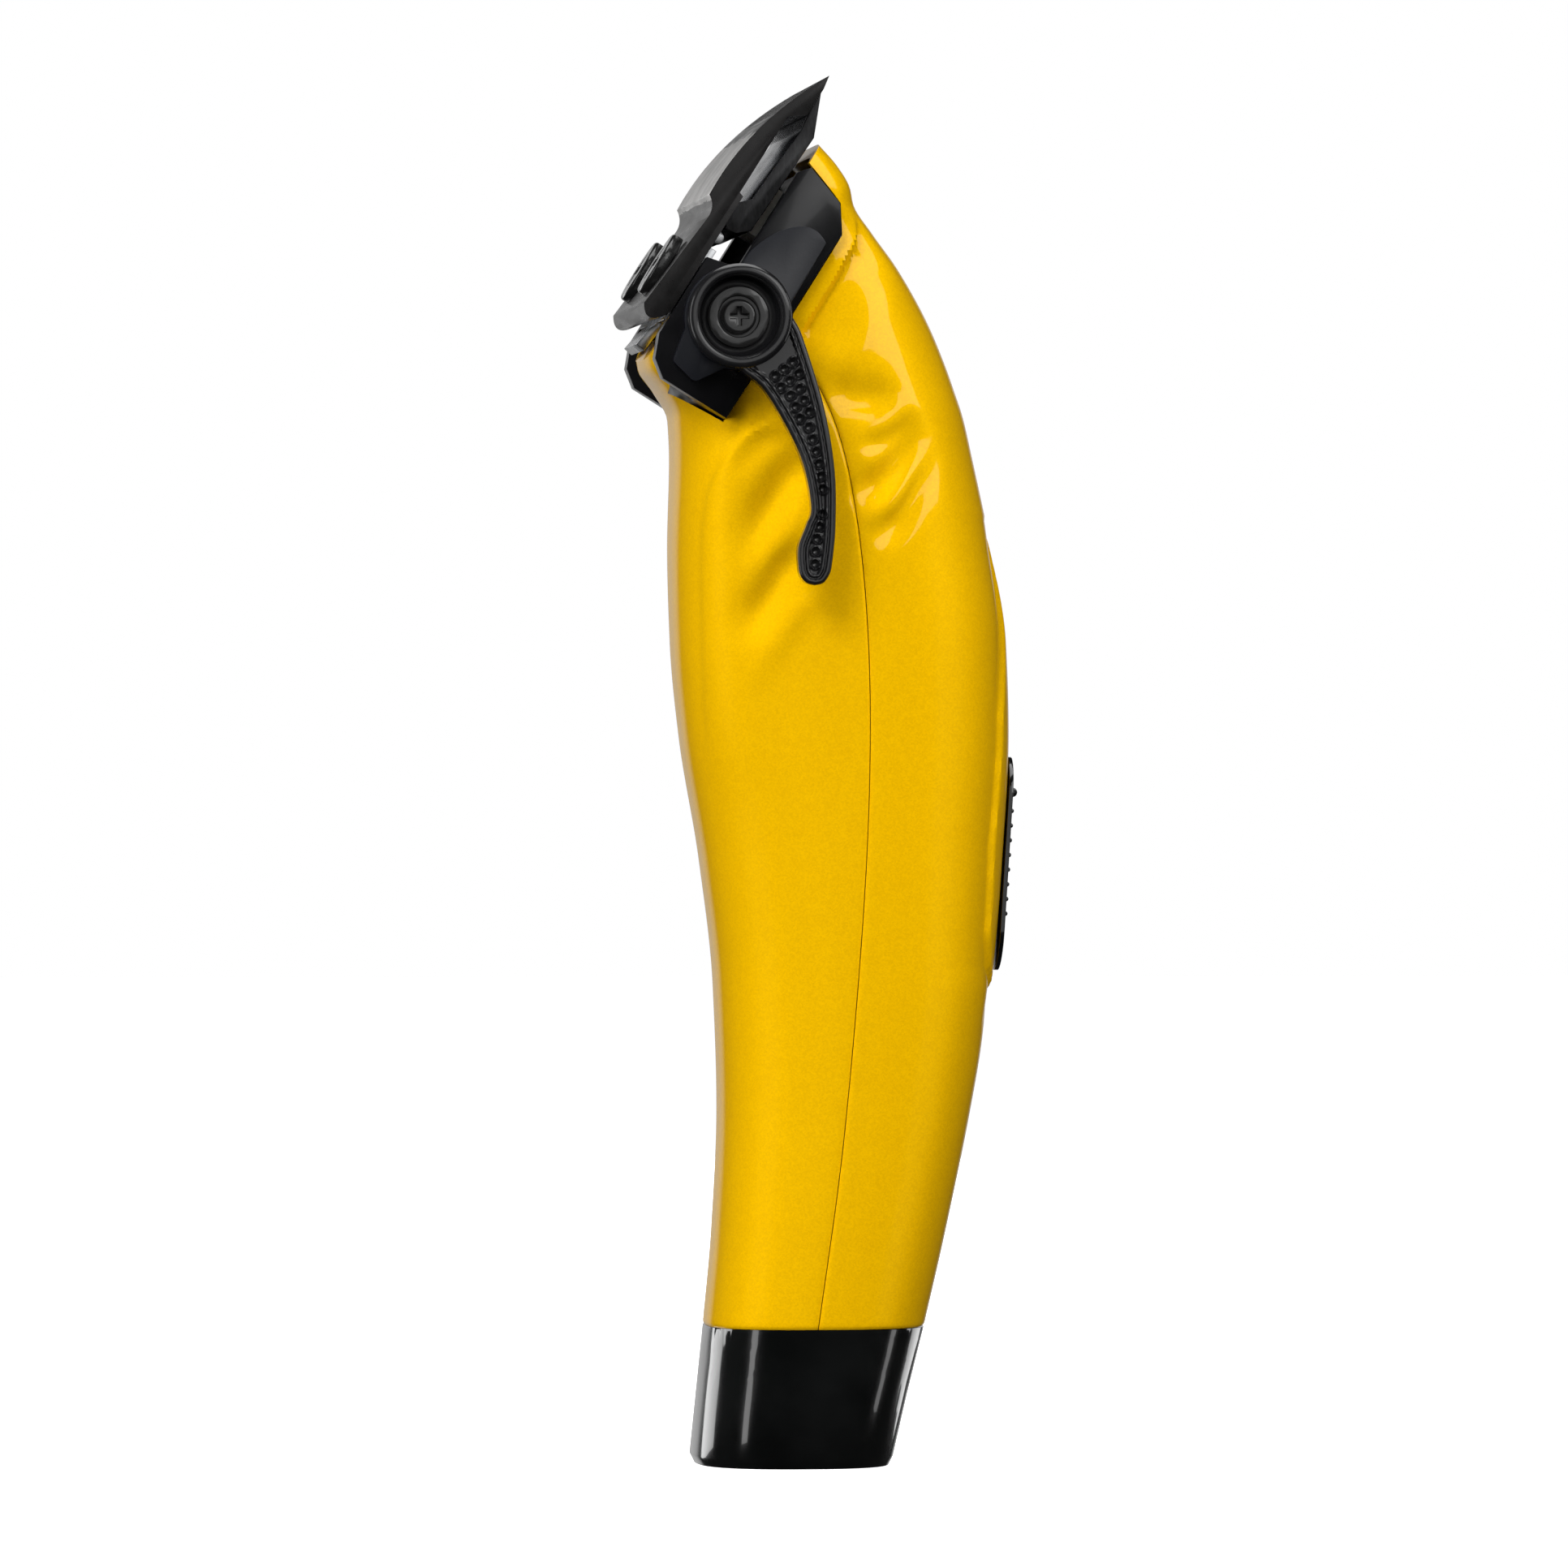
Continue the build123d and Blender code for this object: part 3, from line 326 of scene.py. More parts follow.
# height, skin-side x, thumb-side x, half width, squareness of the cross-section
BODY_ROWS = to_array([
    (17.8, -11.5, 16.7, 17.0, 2.6),
    (30.0, -10.4, 19.5, 17.5, 2.6),
    (46.0, -9.7, 22.8, 18.0, 2.6),
    (62.0, -10.2, 25.5, 18.6, 2.6),
    (78.0, -12.0, 26.9, 19.2, 2.6),
    (94.0, -14.6, 27.7, 19.8, 2.7),
    (106.0, -15.7, 27.3, 20.3, 2.8),
    (118.0, -16.0, 25.3, 20.7, 2.9),
    (130.0, -15.7, 22.7, 21.0, 3.0),
    (135.0, -15.9, 21.5, 21.0, 3.1),
    (138.5, -17.7, 20.3, 21.0, 3.2),
    (141.5, -19.7, 19.2, 21.0, 3.3),
    (147.2, -20.3, 16.7, 21.0, 3.5),
    (154.0, -20.3, 12.6, 21.0, 4.2),
    (158.5, -20.3, 9.1, 21.0, 5.0),
    (162.0, -20.3, 6.5, 21.0, 6.5),
    (164.4, -20.3, 5.8, 21.0, 8.0),
    (167.0, -20.3, 4.2, 21.0, 8.0),
    (170.0, -20.3, 1.5, 21.0, 8.0),
])
SEAM = to_array([(-4.6, 145.4), (0.8, 139.2), (4.5, 129.9), (6.9, 115.4), (7.9, 97.0), (7.3, 74.0),
                 (4.8, 43.0), (1.4, 17.0)])
SEAM_GAP, FOOT_GAP = 0.05, 0.05
RIM_STEP = 1.2                          # how far the rim of the head opening stands proud
RIM_WIDTH, RIM_FOOT = 2.0, 2.7          # from the opening to the end of the rim, and of its step
VALLEY_LOWEST, VALLEY_END = 3.2, 10.5   # the same for the valley beside the rim
VALLEY_HEIGHTS = (141.5, 146.0)         # the rim and its valley come in between these
SHELL_WALL = 2.0
SHELL_ROWS, SHELL_COLUMNS = 230, 150
SHELL_TOP = 169.9
RING_SAMPLES = 400
EDGE_STEPS = (0.0, 0.12, 0.28, 0.5)     # extra lines of the mesh beside the seam and the foot
EDGE_BAND = 0.9                         # where the even lines of the mesh begin
EDGE_ROUND, EDGE_ROUND_WIDTH = 0.22, 0.5

# the blade's frame: u towards the teeth, v out of the skin side
BLADE_ANGLE = math.radians(57.8)
TOOTH_TIP = to_array((1.57, 176.27))
U_WAY = to_array((math.cos(BLADE_ANGLE), math.sin(BLADE_ANGLE)))
V_WAY = to_array((-math.sin(BLADE_ANGLE), math.cos(BLADE_ANGLE)))
SHELL_CUT = [(-42.3, 60.0), (-42.3, -12.0), (-14.1, -12.0), (-10.7, -9.7), (-8.6, -3.5),
             (40.0, -3.5), (40.0, 60.0)]
LIP_ZONE = [(-46.0, -6.0), (-42.3, -4.6), (-36.0, -0.6), (-36.0, 0.1), (-46.0, 0.1)]
LIP_HALF = 13.0
HEAD_ROOM_HALF = 40.0


def from_blade(points):
    points = to_array(points)
    return TOOTH_TIP + points[:, :1] * U_WAY + points[:, 1:] * V_WAY


OPENING_LINE = from_blade([(-60.0, -12.0), (-14.1, -12.0), (-10.7, -9.7), (-8.6, -3.5), (20.0, -3.5)])

# raised and hollow lines on the shells' sides, as side-view curves: depth, half width, points
RIPPLES = [
    (-1.4, 2.1, [(1.5, 131.5), (-3.2, 126.6), (-6.6, 121.2), (-8.6, 115.0)]),
    (-1.25, 1.9, [(0.0, 119.6), (-4.0, 114.6), (-6.8, 109.6), (-8.3, 104.5)]),
    (-0.6, 1.6, [(-3.0, 133.6), (-7.0, 130.6), (-9.6, 126.2)]),
    (0.55, 1.8, [(1.5, 125.0), (-3.0, 119.2), (-6.2, 113.6), (-7.6, 109.0)]),
    (0.5, 1.7, [(2.0, 113.6), (-2.0, 109.2), (-5.0, 104.4), (-6.6, 99.0)]),
    (-1.3, 1.9, [(4.5, 123.4), (9.2, 126.6), (12.8, 131.0), (15.6, 135.6)]),
    (-0.6, 1.2, [(5.8, 130.4), (10.8, 132.4), (14.6, 136.2)]),
    (-0.8, 1.7, [(7.4, 118.0), (11.6, 121.8), (14.6, 127.4), (16.2, 133.4)]),
    (0.5, 1.5, [(6.4, 120.6), (10.6, 123.8), (13.8, 128.6), (15.9, 133.8)]),
    (-1.0, 2.4, [(1.5, 139.6), (5.0, 137.6), (9.0, 137.4), (13.0, 139.4)]),
]
RIPPLE_START, RIPPLE_FADE = 0.3, 0.55    # shares of a ripple's length: full from, dying away from
CREASE_STEP, CREASE_REACH = 0.6, 5.0
CREASE_LOW, CREASE_HIGH = (84.0, 98.0), (136.0, 133.0)
FACING_SIDE, FACING_BACK = (0.35, 0.8), (0.1, 0.6)     # parts of the normal over which relief comes in
FRONT_CREASE = [(-5.4, 134.2), (-8.6, 132.1), (-10.7, 129.0), (-12.2, 125.8), (-13.0, 121.7),
                (-13.2, 115.5), (-13.0, 105.1), (-12.5, 94.7), (-11.7, 84.3)]


def between_rows(heights, column):
    """Smooth values between the rows, without overshoot."""
    known, values = BODY_ROWS[:, 0], BODY_ROWS[:, column]
    slopes = np.diff(values) / np.diff(known)
    tangents = np.zeros(len(known))
    tangents[0], tangents[-1] = slopes[0], slopes[-1]
    for index in range(1, len(known) - 1):
        before, after = slopes[index - 1], slopes[index]
        tangents[index] = 0 if before * after <= 0 else 2 * before * after / (before + after)
    place = np.clip(np.searchsorted(known, heights, side="right") - 1, 0, len(known) - 2)
    span = known[place + 1] - known[place]
    t = (heights - known[place]) / span
    ease = 3 * t ** 2 - 2 * t ** 3
    bend = (t ** 3 - 2 * t ** 2 + t) * tangents[place] + (t ** 3 - t ** 2) * tangents[place + 1]
    return (1 - ease) * values[place] + ease * values[place + 1] + span * bend


def seam_x(heights):
    line = curve_through(list(SEAM))
    order = np.argsort(line[:, 1])
    return np.interp(heights, line[order, 1], line[order, 0])


def half_ring(skin, thumb, half_width, squareness, seam, rear):
    """Evenly spaced points of one half of a cross-section, from -Y round to +Y."""
    middle, half_depth = (skin + thumb) / 2, (thumb - skin) / 2
    share = np.clip((seam - middle) / half_depth, -0.999, 0.999)
    start = math.acos(math.copysign(abs(share) ** (squareness / 2), share))
    turn = np.linspace(start, 0 if rear else math.pi, RING_SAMPLES)
    turn = np.concatenate([-turn, turn[-2::-1]])
    power = 2 / squareness
    x = middle + half_depth * np.sign(np.cos(turn)) * np.abs(np.cos(turn)) ** power
    y = half_width * np.sign(np.sin(turn)) * np.abs(np.sin(turn)) ** power
    ring = np.stack([x, y], axis=-1)
    length = np.linalg.norm(np.diff(ring, axis=0), axis=1).sum()
    edge = np.array(EDGE_STEPS) / length
    middle_part = np.linspace(EDGE_BAND / length, 1 - EDGE_BAND / length, SHELL_COLUMNS)
    return along(ring, [*edge, *middle_part, *(1 - edge[::-1])])


def side_relief(x, z, sideways):
    """How far a shell's side stands proud (or hollow) at each point, in mm."""
    points = np.stack([x, z], axis=-1)
    relief = np.zeros(len(points))
    for depth, width, line in RIPPLES:
        gap, share = distance_to_line(points, curve_through(list(to_array(line))))
        ends = smoothstep(0.0, RIPPLE_START, share) * smoothstep(1.0, RIPPLE_FADE, share)
        relief += depth * gauss(gap, width) * ends
    gap, _ = distance_to_line(points, OPENING_LINE)
    valley = smoothstep(RIM_WIDTH, RIM_FOOT, gap) * smoothstep(VALLEY_END, VALLEY_LOWEST, gap)
    relief -= RIM_STEP * valley * smoothstep(*VALLEY_HEIGHTS, z)
    crease = curve_through(list(to_array(FRONT_CREASE)))
    past = x - np.interp(z, crease[::-1, 1], crease[::-1, 0])
    raised = smoothstep(-0.5, 0.4, past) * gauss(np.maximum(past, 0), CREASE_REACH)
    relief += CREASE_STEP * raised * smoothstep(*CREASE_LOW, z) * smoothstep(*CREASE_HIGH, z)
    return relief * smoothstep(*FACING_SIDE, np.abs(sideways))


# half width at each height of the field round the thumb switch
PANEL_ROWS = to_array([(62.0, 3.0), (64.0, 8.4), (68.0, 10.4), (80.0, 11.2), (97.0, 10.6), (110.0, 7.2),
                       (118.0, 3.6), (122.0, 0.4)])
PANEL_FOOT, PANEL_FOOT_HALF = PANEL_ROWS[0]
PANEL_STEP, PANEL_STEP_WIDTH, PANEL_BLEND = 0.75, 1.0, 6.0
PANEL_LOW, PANEL_HIGH = (46.0, 60.0), (128.0, 118.0)    # heights over which its border comes and goes
NO_PANEL = -20.0


def switch_panel(y, z, rearward):
    """The almond-shaped field round the thumb switch, set off by a step along its border."""
    half = np.interp(z, PANEL_ROWS[:, 0], PANEL_ROWS[:, 1], left=NO_PANEL, right=NO_PANEL)
    beside_foot = np.maximum(PANEL_FOOT - z, np.abs(y) - PANEL_FOOT_HALF)
    outside = np.where(z < PANEL_FOOT, beside_foot, np.abs(y) - half)
    step = smoothstep(0.0, PANEL_STEP_WIDTH, outside) * np.exp(-np.maximum(outside, 0) / PANEL_BLEND)
    fade = smoothstep(*PANEL_LOW, z) * smoothstep(*PANEL_HIGH, z)
    return -PANEL_STEP * step * fade * smoothstep(*FACING_BACK, rearward)


def shell_grid(rear):
    foot = JOINT_HEIGHT + FOOT_GAP
    even = np.linspace(foot + EDGE_BAND, SHELL_TOP, SHELL_ROWS)
    heights = np.concatenate([foot + np.array(EDGE_STEPS), even])
    values = [between_rows(heights, column) for column in range(1, 5)]
    seams = seam_x(heights) + (SEAM_GAP if rear else -SEAM_GAP)
    rings = [half_ring(*row, seam, rear) for *row, seam in zip(*values, seams)]
    grid = np.zeros((len(heights), len(rings[0]), 3))
    grid[:, :, :2] = rings
    grid[:, :, 2] = heights[:, None]
    return grid


def grid_normals(grid):
    up = np.gradient(grid, axis=0)
    round_way = np.gradient(grid, axis=1)
    normal = np.cross(round_way, up)
    normal /= np.linalg.norm(normal, axis=2, keepdims=True)
    return normal


def orient(piece, out):
    """Turns the faces outwards, going by the face and the outward way halfway up."""
    face = piece.data.polygons[len(piece.data.polygons) // 2]
    if face.normal @ Vector(out[face.vertices[0]]) < 0:
        piece.data.flip_normals()


def shell(name, rear):
    grid = shell_grid(rear)
    normal = grid_normals(grid)
    middle = grid[:, :, :2].mean(axis=1, keepdims=True)
    outward = np.sign((normal[:, :, :2] * (grid[:, :, :2] - middle)).sum(axis=2).mean())
    normal *= outward
    flat, out = grid.reshape(-1, 3), normal.reshape(-1, 3)
    relief = side_relief(flat[:, 0], flat[:, 2], out[:, 1])
    if rear:
        relief += switch_panel(flat[:, 1], flat[:, 2], out[:, 0])
    steps = np.linalg.norm(np.diff(grid, axis=1), axis=2)
    travel = np.concatenate([np.zeros((len(grid), 1)), np.cumsum(steps, axis=1)], axis=1)
    from_edge = np.minimum(travel, travel[:, -1:] - travel)
    from_foot = grid[:, :, 2] - grid[0, 0, 2]
    for gap in (from_edge, from_foot):
        relief -= EDGE_ROUND * np.clip(1 - gap / EDGE_ROUND_WIDTH, 0, 1).reshape(-1) ** 2
    flat = flat + out * relief[:, None]
    piece = make_object(name, flat, grid_faces(*grid.shape[:2]))
    orient(piece, out)
    solid = piece.modifiers.new("wall", "SOLIDIFY")
    solid.thickness = SHELL_WALL * MM
    solid.offset = -1.0
    bake_modifiers(piece)
    cut_opening(piece)
    smooth(piece, SHELL_SHARP_TURN)
    return piece


def prism(name, outline, half_width):
    """A blade-frame outline carried across the whole width."""
    side = from_blade(outline)
    count = len(side)
    vertices = [(x, -half_width, z) for x, z in side] + [(x, half_width, z) for x, z in side]
    faces = [tuple(range(count)), tuple(range(count, 2 * count))]
    faces += [(i, (i + 1) % count, count + (i + 1) % count, count + i) for i in range(count)]
    return make_object(name, vertices, faces)


def subtract(piece, cutter):
    modifier = piece.modifiers.new("cut", "BOOLEAN")
    modifier.object = cutter
    modifier.operation = "DIFFERENCE"
    modifier.solver = "MANIFOLD"
    bake_modifiers(piece)
    bpy.data.objects.remove(cutter)


def cut_opening(piece):
    room = prism("head_room", SHELL_CUT, HEAD_ROOM_HALF)
    subtract(room, prism("lip_zone", LIP_ZONE, LIP_HALF))
    subtract(piece, room)


# ================================================================== lever
HUB = from_blade([(-30.5, -5.97)])[0]
HUB_FRONT, HUB_BACK, CUP_FLOOR = -29.0, -24.0, -25.5
ARM_FRONT, ARM_BACK = -28.2, -25.6
ARM_ROOT_R = 6.1                   # the arm starts here, inside the hub's wall
HUB_TURNS = 96
# the arm's two borders, from the hub's centre, and the end where they meet
THUMB_EDGE = [(5.9, 1.0), (6.9, -0.4), (8.1, -2.9), (10.7, -11.4), (12.1, -19.5), (12.2, -26.9),
              (11.75, -31.6), (11.35, -33.0), (10.6, -33.95)]
TIP = (9.55, -34.25)
SKIN_EDGE = [(-1.6, -5.7), (0.4, -7.2), (3.4, -9.9), (7.6, -17.6), (9.05, -24.0), (8.4, -26.6),
             (7.45, -29.2), (7.45, -31.8), (7.75, -33.1), (8.5, -33.95)]
ARM_ROWS, ARM_COLUMNS = 380, 84
COLUMN_CROWDING = 0.6              # how much the mesh gathers at the arm's borders
BORDER = 1.45                      # width of the arm's flange, groove and ridge together
ARM_ROUND_WIDTH, ARM_ROUND_DEPTH = 0.45, 0.5
GROOVE_DEPTH, GROOVE_START, GROOVE_END = 0.42, (0.62, 0.78), (1.08, 0.92)
FIELD_DEPTH, FIELD_START = 0.6, (1.25, 1.5)
DIMPLE_PITCH, DIMPLE_SPACING = 1.52, 1.42     # along the arm and across it
DIMPLE_R, DIMPLE_DEPTH = 0.56, 0.42
DIMPLE_RIM, DIMPLE_RIM_WIDTH, DIMPLE_RIM_OUT = 0.14, 0.12, 0.08
DIMPLES_FROM_HUB = 8.6
FIELD_MARGIN, LEAST_ROOM, ROOM_PER_DIMPLE, ROW_ROUNDING, MOST_IN_ROW = 0.5, 0.25, 1.35, 0.45, 3


def arm_face(border_gap, points, dimples):
    """Height of the arm's face below its top level, from the distance to its border."""
    inward = 1 - np.clip(border_gap / ARM_ROUND_WIDTH, 0, 1)
    drop = ARM_ROUND_DEPTH * (1 - np.sqrt(1 - inward ** 2))
    drop += GROOVE_DEPTH * smoothstep(*GROOVE_START, border_gap) * smoothstep(*GROOVE_END, border_gap)
    drop += FIELD_DEPTH * smoothstep(*FIELD_START, border_gap)
    for centre in dimples:
        gap = np.linalg.norm(points - centre, axis=1)
        drop += DIMPLE_DEPTH * np.sqrt(np.clip(1 - (gap / DIMPLE_R) ** 2, 0, 1))
        drop -= DIMPLE_RIM * gauss(gap - DIMPLE_R - DIMPLE_RIM_OUT, DIMPLE_RIM_WIDTH)
    return drop


def arm_edges():
    thumb = curve_through(list(HUB + to_array([*THUMB_EDGE, TIP])))
    skin = curve_through(list(HUB + to_array([*SKIN_EDGE, TIP])))
    return thumb, skin


def dimple_centres(thumb, skin):
    """Rows of dimples across the arm, as many in a row as its field has room for."""
    shares = np.linspace(0, 1, 200)
    middle = (along(thumb, shares) + along(skin, shares)) / 2
    length = np.linalg.norm(np.diff(middle, axis=0), axis=1).sum()
    centres = []
    count = int(length / DIMPLE_PITCH)
    for row in range(count):
        share = (row + 0.6) / count
        a, b = along(thumb, [share])[0], along(skin, [share])[0]
        centre, width = (a + b) / 2, np.linalg.norm(a - b)
        room = width - 2 * BORDER - FIELD_MARGIN
        if np.linalg.norm(centre - HUB) < DIMPLES_FROM_HUB or room < LEAST_ROOM:
            continue
        in_row = max(1, min(MOST_IN_ROW, int(room / ROOM_PER_DIMPLE + ROW_ROUNDING)))
        across = (b - a) / width
        for place in range(in_row):
            centres.append(centre + across * (place - (in_row - 1) / 2) * DIMPLE_SPACING)
    return centres


def lever_arm():
    thumb, skin = arm_edges()
    shares = np.linspace(0, 1, ARM_ROWS)
    a, b = along(thumb, shares), along(skin, shares)
    t = np.linspace(0, 1, ARM_COLUMNS)
    t = t - COLUMN_CROWDING / (2 * math.pi) * np.sin(2 * math.pi * t)
    plan = a[:, None] * (1 - t[None, :, None]) + b[:, None] * t[None, :, None]
    flat = plan.reshape(-1, 2)
    from_hub = flat - HUB
    reach = np.linalg.norm(from_hub, axis=1, keepdims=True)
    flat = HUB + from_hub / reach * np.maximum(reach, ARM_ROOT_R)
    border = np.concatenate([thumb, skin[::-1]])
    gap, _ = distance_to_line(flat, border)
    drop = arm_face(gap, flat, dimple_centres(thumb, skin))
    front = [(x, ARM_FRONT + down, z) for (x, z), down in zip(flat, drop)]
    back = [(x, ARM_BACK, z) for x, z in flat]
    size = ARM_ROWS * ARM_COLUMNS
    faces = grid_faces(ARM_ROWS, ARM_COLUMNS) + grid_faces(ARM_ROWS, ARM_COLUMNS, size)
    loop = list(range(ARM_COLUMNS))
    loop += [r * ARM_COLUMNS + ARM_COLUMNS - 1 for r in range(1, ARM_ROWS)]
    loop += [(ARM_ROWS - 1) * ARM_COLUMNS + c for c in range(ARM_COLUMNS - 2, -1, -1)]
    loop += [r * ARM_COLUMNS for r in range(ARM_ROWS - 2, 0, -1)]
    faces += [(i, j, j + size, i + size) for i, j in zip(loop, loop[1:] + loop[:1])]
    return front + back, faces


def hub_place(radius, angle, travel):
    return HUB[0] + radius * math.cos(angle), travel, HUB[1] + radius * math.sin(angle)


def taper_lever():
    profile = [(1.5, HUB_BACK), (6.2, HUB_BACK), (6.5, HUB_BACK - 0.3), (6.5, -27.9), (6.42, -28.3),
               (6.62, -28.45), (6.65, -28.6), (6.45, -28.85), (6.1, HUB_FRONT), (5.7, HUB_FRONT),
               (5.5, -28.92), (5.42, -28.7), (5.42, -28.35), (5.25, -28.2), (5.15, -27.95), (5.05, -26.3),
               (4.95, -25.85), (4.7, -25.55), (4.45, CUP_FLOOR), (4.1, -25.35), (1.5, -25.35)]
    vertices, faces = lathe(profile, hub_place, HUB_TURNS)
    faces = faces[:-2]
    last = (len(profile) - 1) * HUB_TURNS
    faces += [(c, (c + 1) % HUB_TURNS, last + (c + 1) % HUB_TURNS, last + c) for c in range(HUB_TURNS)]
    arm_vertices, arm_faces = lever_arm()
    offset = len(vertices)
    faces += [tuple(index + offset for index in face) for face in arm_faces]
    piece = make_object("taper_lever_casting", vertices + arm_vertices, faces)
    merge = bmesh.new()
    merge.from_mesh(piece.data)
    bmesh.ops.remove_doubles(merge, verts=merge.verts, dist=0.002 * MM)
    merge.to_mesh(piece.data)
    merge.free()
    smooth(piece)
    return piece


# ================================================================== pieces made from the CAD nodes
def refined(node, name, material, width=0.2, segments=2, degrees=30):
    """A bevelled copy of a CAD node, for edges that catch light as real ones do."""
    mesh = frame["nodes"][node].data.copy()
    made = bmesh.new()
    made.from_mesh(mesh)
    bmesh.ops.remove_doubles(made, verts=made.verts, dist=MERGE_GAP * MM)
    bmesh.ops.dissolve_limit(made, angle_limit=math.radians(FLAT_TURN), verts=made.verts,
                             edges=made.edges)
    made.to_mesh(mesh)
    made.free()
    piece = bpy.data.objects.new(name, mesh)
    bpy.context.scene.collection.objects.link(piece)
    if width:
        bevelled(piece, width, segments, degrees)
        bake_modifiers(piece)
    smooth(piece)
    slots = {part["node"]: part["material_slot"] for part in frame["record"]["subparts"]}
    return finish_piece(piece, BODY_OF[node], slots[node], material, node)


def paint_faces(piece, material, wanted):
    """Gives another material to the faces for which wanted(normal, centre in mm) holds."""
    piece.data.materials.append(material)
    for face in piece.data.polygons:
        if wanted(face.normal, face.center / MM):
            face.material_index = len(piece.data.materials) - 1


def in_blade_frame(normal, centre):
    """A face's turn towards the skin side, and where it lies along the blade."""
    place = to_array((centre.x, centre.z)) - TOOTH_TIP
    return normal.x * V_WAY[0] + normal.z * V_WAY[1], place @ U_WAY, place @ V_WAY


def highlit_skin_facet(normal, centre):
    """The fixed blade's flat facet towards the skin side, between its heel's hollow and its teeth, which
    is given bright steel as a painted highlight.
    """
    turn, u, v = in_blade_frame(normal, centre)
    return turn > 0.3 and -19.4 < u < -9.0 and v > 2.2


def inner_face(normal, centre):
    """The fixed blade's faces towards the cutter, which are given bright steel: bare steel, and also a
    painted highlight for the light through the gap.
    """
    turn, _, v = in_blade_frame(normal, centre)
    return turn < -0.6 and v < 2.4


def tunnel_face(normal, centre):
    """The cutter's faces towards the fixed blade, behind its teeth, which are given bright steel: bare
    steel, and also a painted highlight for the light through the gap.
    """
    turn, u, _ = in_blade_frame(normal, centre)
    return turn > 0.6 and u < -2.0


front = finish_piece(shell("front_shell_skin", False), "housing", "yellow_shell", PEARL, "front_shell")
rear = finish_piece(shell("rear_shell_skin", True), "housing", "yellow_shell", PEARL, "rear_shell")
lever = finish_piece(taper_lever(), "lever", "black_lever", BLACK_LEVER, "taper_lever")

REFINED = {
    "base_cap": (BLACK_GLOSS, 0.0),
    "head_frame": (BLACK_HEAD, 0.3),
    "side_plate_lever": (BLACK_LEAF, 0.35),
    "side_plate_plain": (BLACK_LEAF, 0.35),
    "fixed_blade": (BLADE_BLACK, 0.14),
    "moving_cutter": (CUTTER_BLACK, 0.12),
    "cutter_guide": (PLATED, 0.1),
    "blade_screws": (BLACK_SCREW, 0.12),
    "blade_bracket": (PLATED, 0.15),
    "lever_washer": (BLACK_SCREW, 0.15),
    "lever_screw": (BLACK_SCREW, 0.12),
    "switch_slider": (BLACK_GLOSS, 0.15),
}
finished = {node: refined(node, node + "_finished", material, width)
            for node, (material, width) in REFINED.items()}
# painted highlight: the fixed blade's flat facet gets the bright steel colour
paint_faces(finished["fixed_blade"], FACET_PAINTED_HIGHLIGHT, highlit_skin_facet)
# painted highlight: the faces of both blades inside the gap get bright steel
paint_faces(finished["fixed_blade"], GAP_STEEL_PAINTED_HIGHLIGHT, inner_face)
paint_faces(finished["moving_cutter"], GAP_STEEL_PAINTED_HIGHLIGHT, tunnel_face)

NODE_LOOKS = {
    "base_plate": PLAIN_BLACK, "base_screws": PLATED, "charge_port": PLATED, "port_board": BOARD,
    "head_screws": PLATED, "cutter_block": NYLON, "lever_cam": PLATED, "drive_arm": NYLON,
    "pivot_bush": BRASS, "pivot_pin": PLATED, "armature": PLATED, "arm_magnets": NICKEL,
    "motor_core": LAMINATED, "coil_bobbin": NYLON, "motor_coil": COPPER, "motor_frame": PLATED,
    "motor_screws": PLATED, "return_springs": PLATED, "battery_cell": SLEEVE, "battery_tabs": NICKEL,
    "battery_cradle": PLAIN_BLACK, "circuit_board": BOARD, "board_parts": CHIP, "slide_switch": CHIP,
}
for node, material in NODE_LOOKS.items():
    data = frame["nodes"][node].data
    data.materials.clear()
    data.materials.append(material)


# ================================================================== studio
def stage_floor():
    """A pale floor that the camera sees, and that doesn't light the object."""
    corners = [(-1, -1), (1, -1), (1, 1), (-1, 1)]
    piece = make_object("floor", [(FLOOR_HALF * x, FLOOR_HALF * y, FLOOR_DROP) for x, y in corners],
                        [(0, 1, 2, 3)])
    material, tree, shader = new_material("pale_floor", Roughness=0.9, Specular_IOR_Level=0.0)
    mottle = noise(tree, 3.0, 2.0)
    tree.links.new(blend_colours(tree, mottle, (0.93, 0.93, 0.93), (0.96, 0.96, 0.96)),
                   shader.inputs["Base Color"])
    shader.inputs["Emission Color"].default_value = (1, 1, 1, 1)
    shader.inputs["Emission Strength"].default_value = 1.0
    piece.data.materials.append(material)
    piece.visible_glossy = False
    piece.visible_diffuse = False


def softbox(name, place, target, width, height, radiance, mirrored=True, only=None):
    """A rectangular lamp that faces the target. radiance is its brightness as seen. Given
    a collection, it lights only that."""
    data = bpy.data.lights.new(name, "AREA")
    data.shape = "RECTANGLE"
    data.size, data.size_y = width, height
    data.energy = radiance * math.pi * width * height
    lamp = bpy.data.objects.new(name, data)
    bpy.context.scene.collection.objects.link(lamp)
    lamp.location = place
    way = Vector(target) - Vector(place)
    lamp.rotation_euler = way.to_track_quat("-Z", "Y").to_euler()
    lamp.visible_camera = False
    lamp.visible_glossy = mirrored
    if only:
        lamp.light_linking.receiver_collection = only


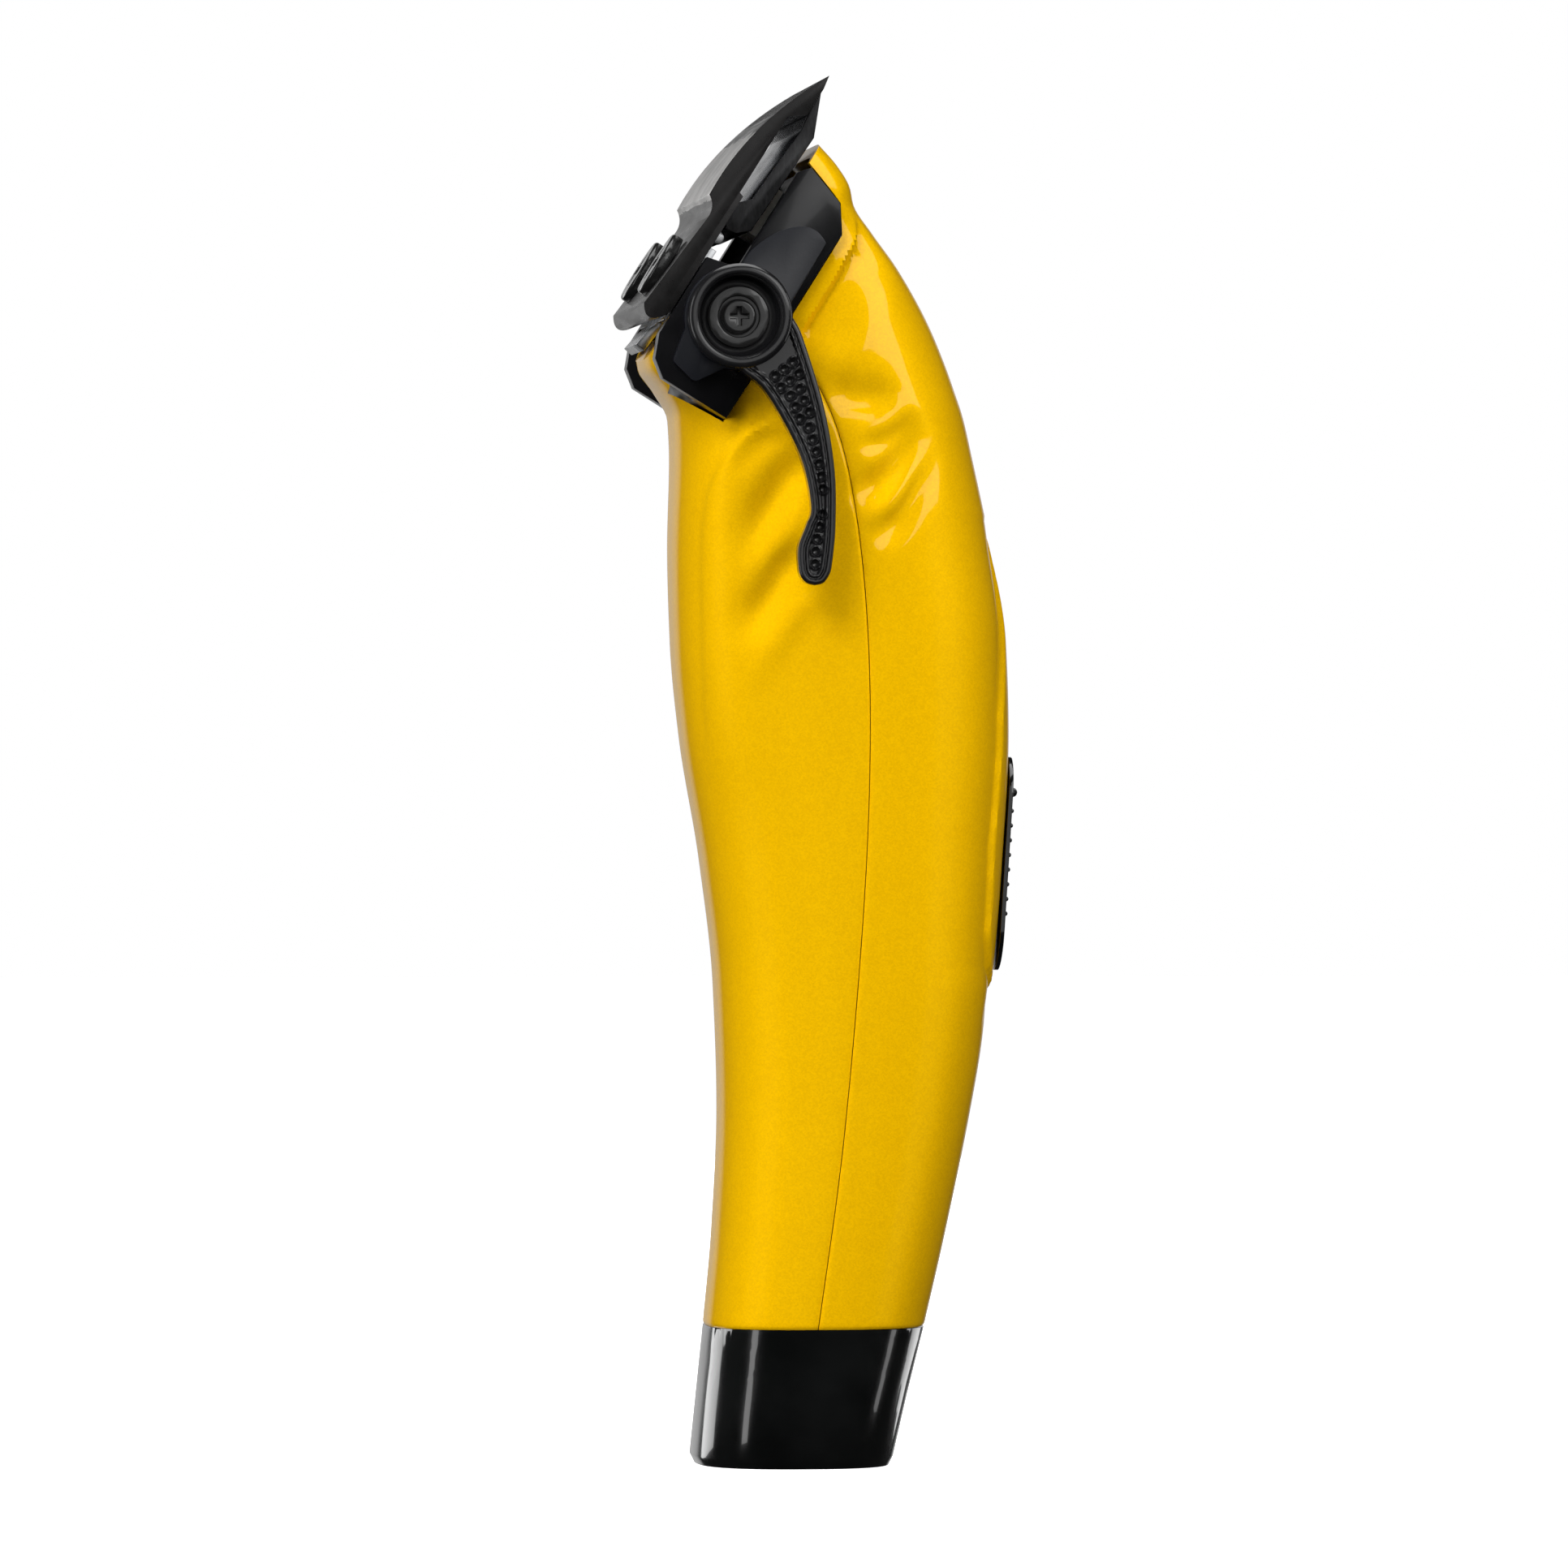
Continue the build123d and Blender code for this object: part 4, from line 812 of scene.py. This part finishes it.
def studio_world():
    """White backdrop behind the object and white round the camera's view, and a dark room."""
    world = bpy.data.worlds.new("studio")
    bpy.context.scene.world = world
    world.use_nodes = True
    tree = world.node_tree
    tree.nodes.clear()
    place = add(tree, "ShaderNodeTexCoord")
    way = add(tree, "ShaderNodeSeparateXYZ", {"Vector": place.outputs["Generated"]})
    backdrop = add(tree, "ShaderNodeMapRange",
                   {"Value": way.outputs["Y"], "From Min": BACKDROP_EDGE[0], "From Max": BACKDROP_EDGE[1],
                    "To Min": ROOM_LIGHT, "To Max": BACKDROP_LIGHT}, interpolation_type="SMOOTHSTEP")
    lit = add(tree, "ShaderNodeBackground", {"Strength": backdrop.outputs["Result"]})
    seen = add(tree, "ShaderNodeBackground", {"Color": (1, 1, 1, 1), "Strength": 1.0})
    path = add(tree, "ShaderNodeLightPath")
    mixed = add(tree, "ShaderNodeMixShader", {0: path.outputs["Is Camera Ray"], 1: lit.outputs[0],
                                              2: seen.outputs[0]})
    end = add(tree, "ShaderNodeOutputWorld")
    tree.links.new(mixed.outputs[0], end.inputs["Surface"])


def camera():
    data = bpy.data.cameras.new("camera")
    data.lens, data.sensor_width = LENS, SENSOR
    eye = bpy.data.objects.new("camera", data)
    bpy.context.scene.collection.objects.link(eye)
    aim = Vector(AIM)
    eye.location = aim + VIEW_DISTANCE * Vector((math.sin(VIEW_TURN), -math.cos(VIEW_TURN), 0))
    eye.rotation_euler = (aim - eye.location).to_track_quat("-Z", "Y").to_euler()
    bpy.context.scene.camera = eye


FLOOR_HALF, FLOOR_DROP = 4000, -0.05      # millimetres; the places below are in metres
LENS, SENSOR = 283.9, 36.0
AIM, VIEW_TURN, VIEW_DISTANCE = (-0.00116, 0, 0.0878), math.radians(-5.9), 1.6
BACKDROP_EDGE = (0.9, 0.97)               # how far a way points to +Y where the backdrop begins
CENTRE = (0.0, 0.0, 0.09)
ROOM_LIGHT, BACKDROP_LIGHT = 0.02, 0.6
stage_floor()
studio_world()
camera()

# the black pieces mirror lamps of their own, and the glossy ones no lamp straight in front
dark_pieces = bpy.data.collections.new("dark_pieces")
satin_pieces = bpy.data.collections.new("satin_pieces")
for node, piece in finished.items():
    dark_pieces.objects.link(piece)
    if node not in ("base_cap", "head_frame"):
        satin_pieces.objects.link(piece)
for group in (dark_pieces, satin_pieces):
    group.objects.link(lever)
softbox("key", (-0.5, -0.85, 0.8), CENTRE, 0.45, 0.45, 15.5, False)
softbox("front_fill", (-0.4, -1.1, 0.3), CENTRE, 1.3, 1.0, 0.88, False)
softbox("left_fill", (-0.95, -0.3, 0.25), CENTRE, 0.6, 0.9, 4.6, False)
softbox("right_fill", (0.9, -0.6, 0.1), CENTRE, 0.6, 0.9, 4.8, False)
softbox("rear_fill", (0.15, 1.2, 0.4), CENTRE, 1.0, 1.0, 1.9, False)
softbox("right_front", (0.6, -0.78, 0.55), CENTRE, 0.8, 0.6, 1.7)
softbox("top", (0.05, -0.1, 0.95), CENTRE, 0.7, 0.7, 2.4)
softbox("dark_front", (0.1, -1.2, 0.36), CENTRE, 1.0, 0.8, 0.6, True, satin_pieces)
softbox("strip_left", (-0.8, -0.36, 0.14), CENTRE, 0.16, 0.8, 2.4, True, dark_pieces)
softbox("strip_right", (0.85, -0.16, 0.14), CENTRE, 0.14, 0.8, 1.6, True, dark_pieces)
softbox("back_left", (-0.6, 0.7, 0.25), CENTRE, 0.45, 0.9, 2.0, True, dark_pieces)
softbox("back_right", (0.65, 0.65, 0.25), CENTRE, 0.45, 0.9, 1.5, True, dark_pieces)
bpy.context.scene.view_settings.view_transform = "Standard"
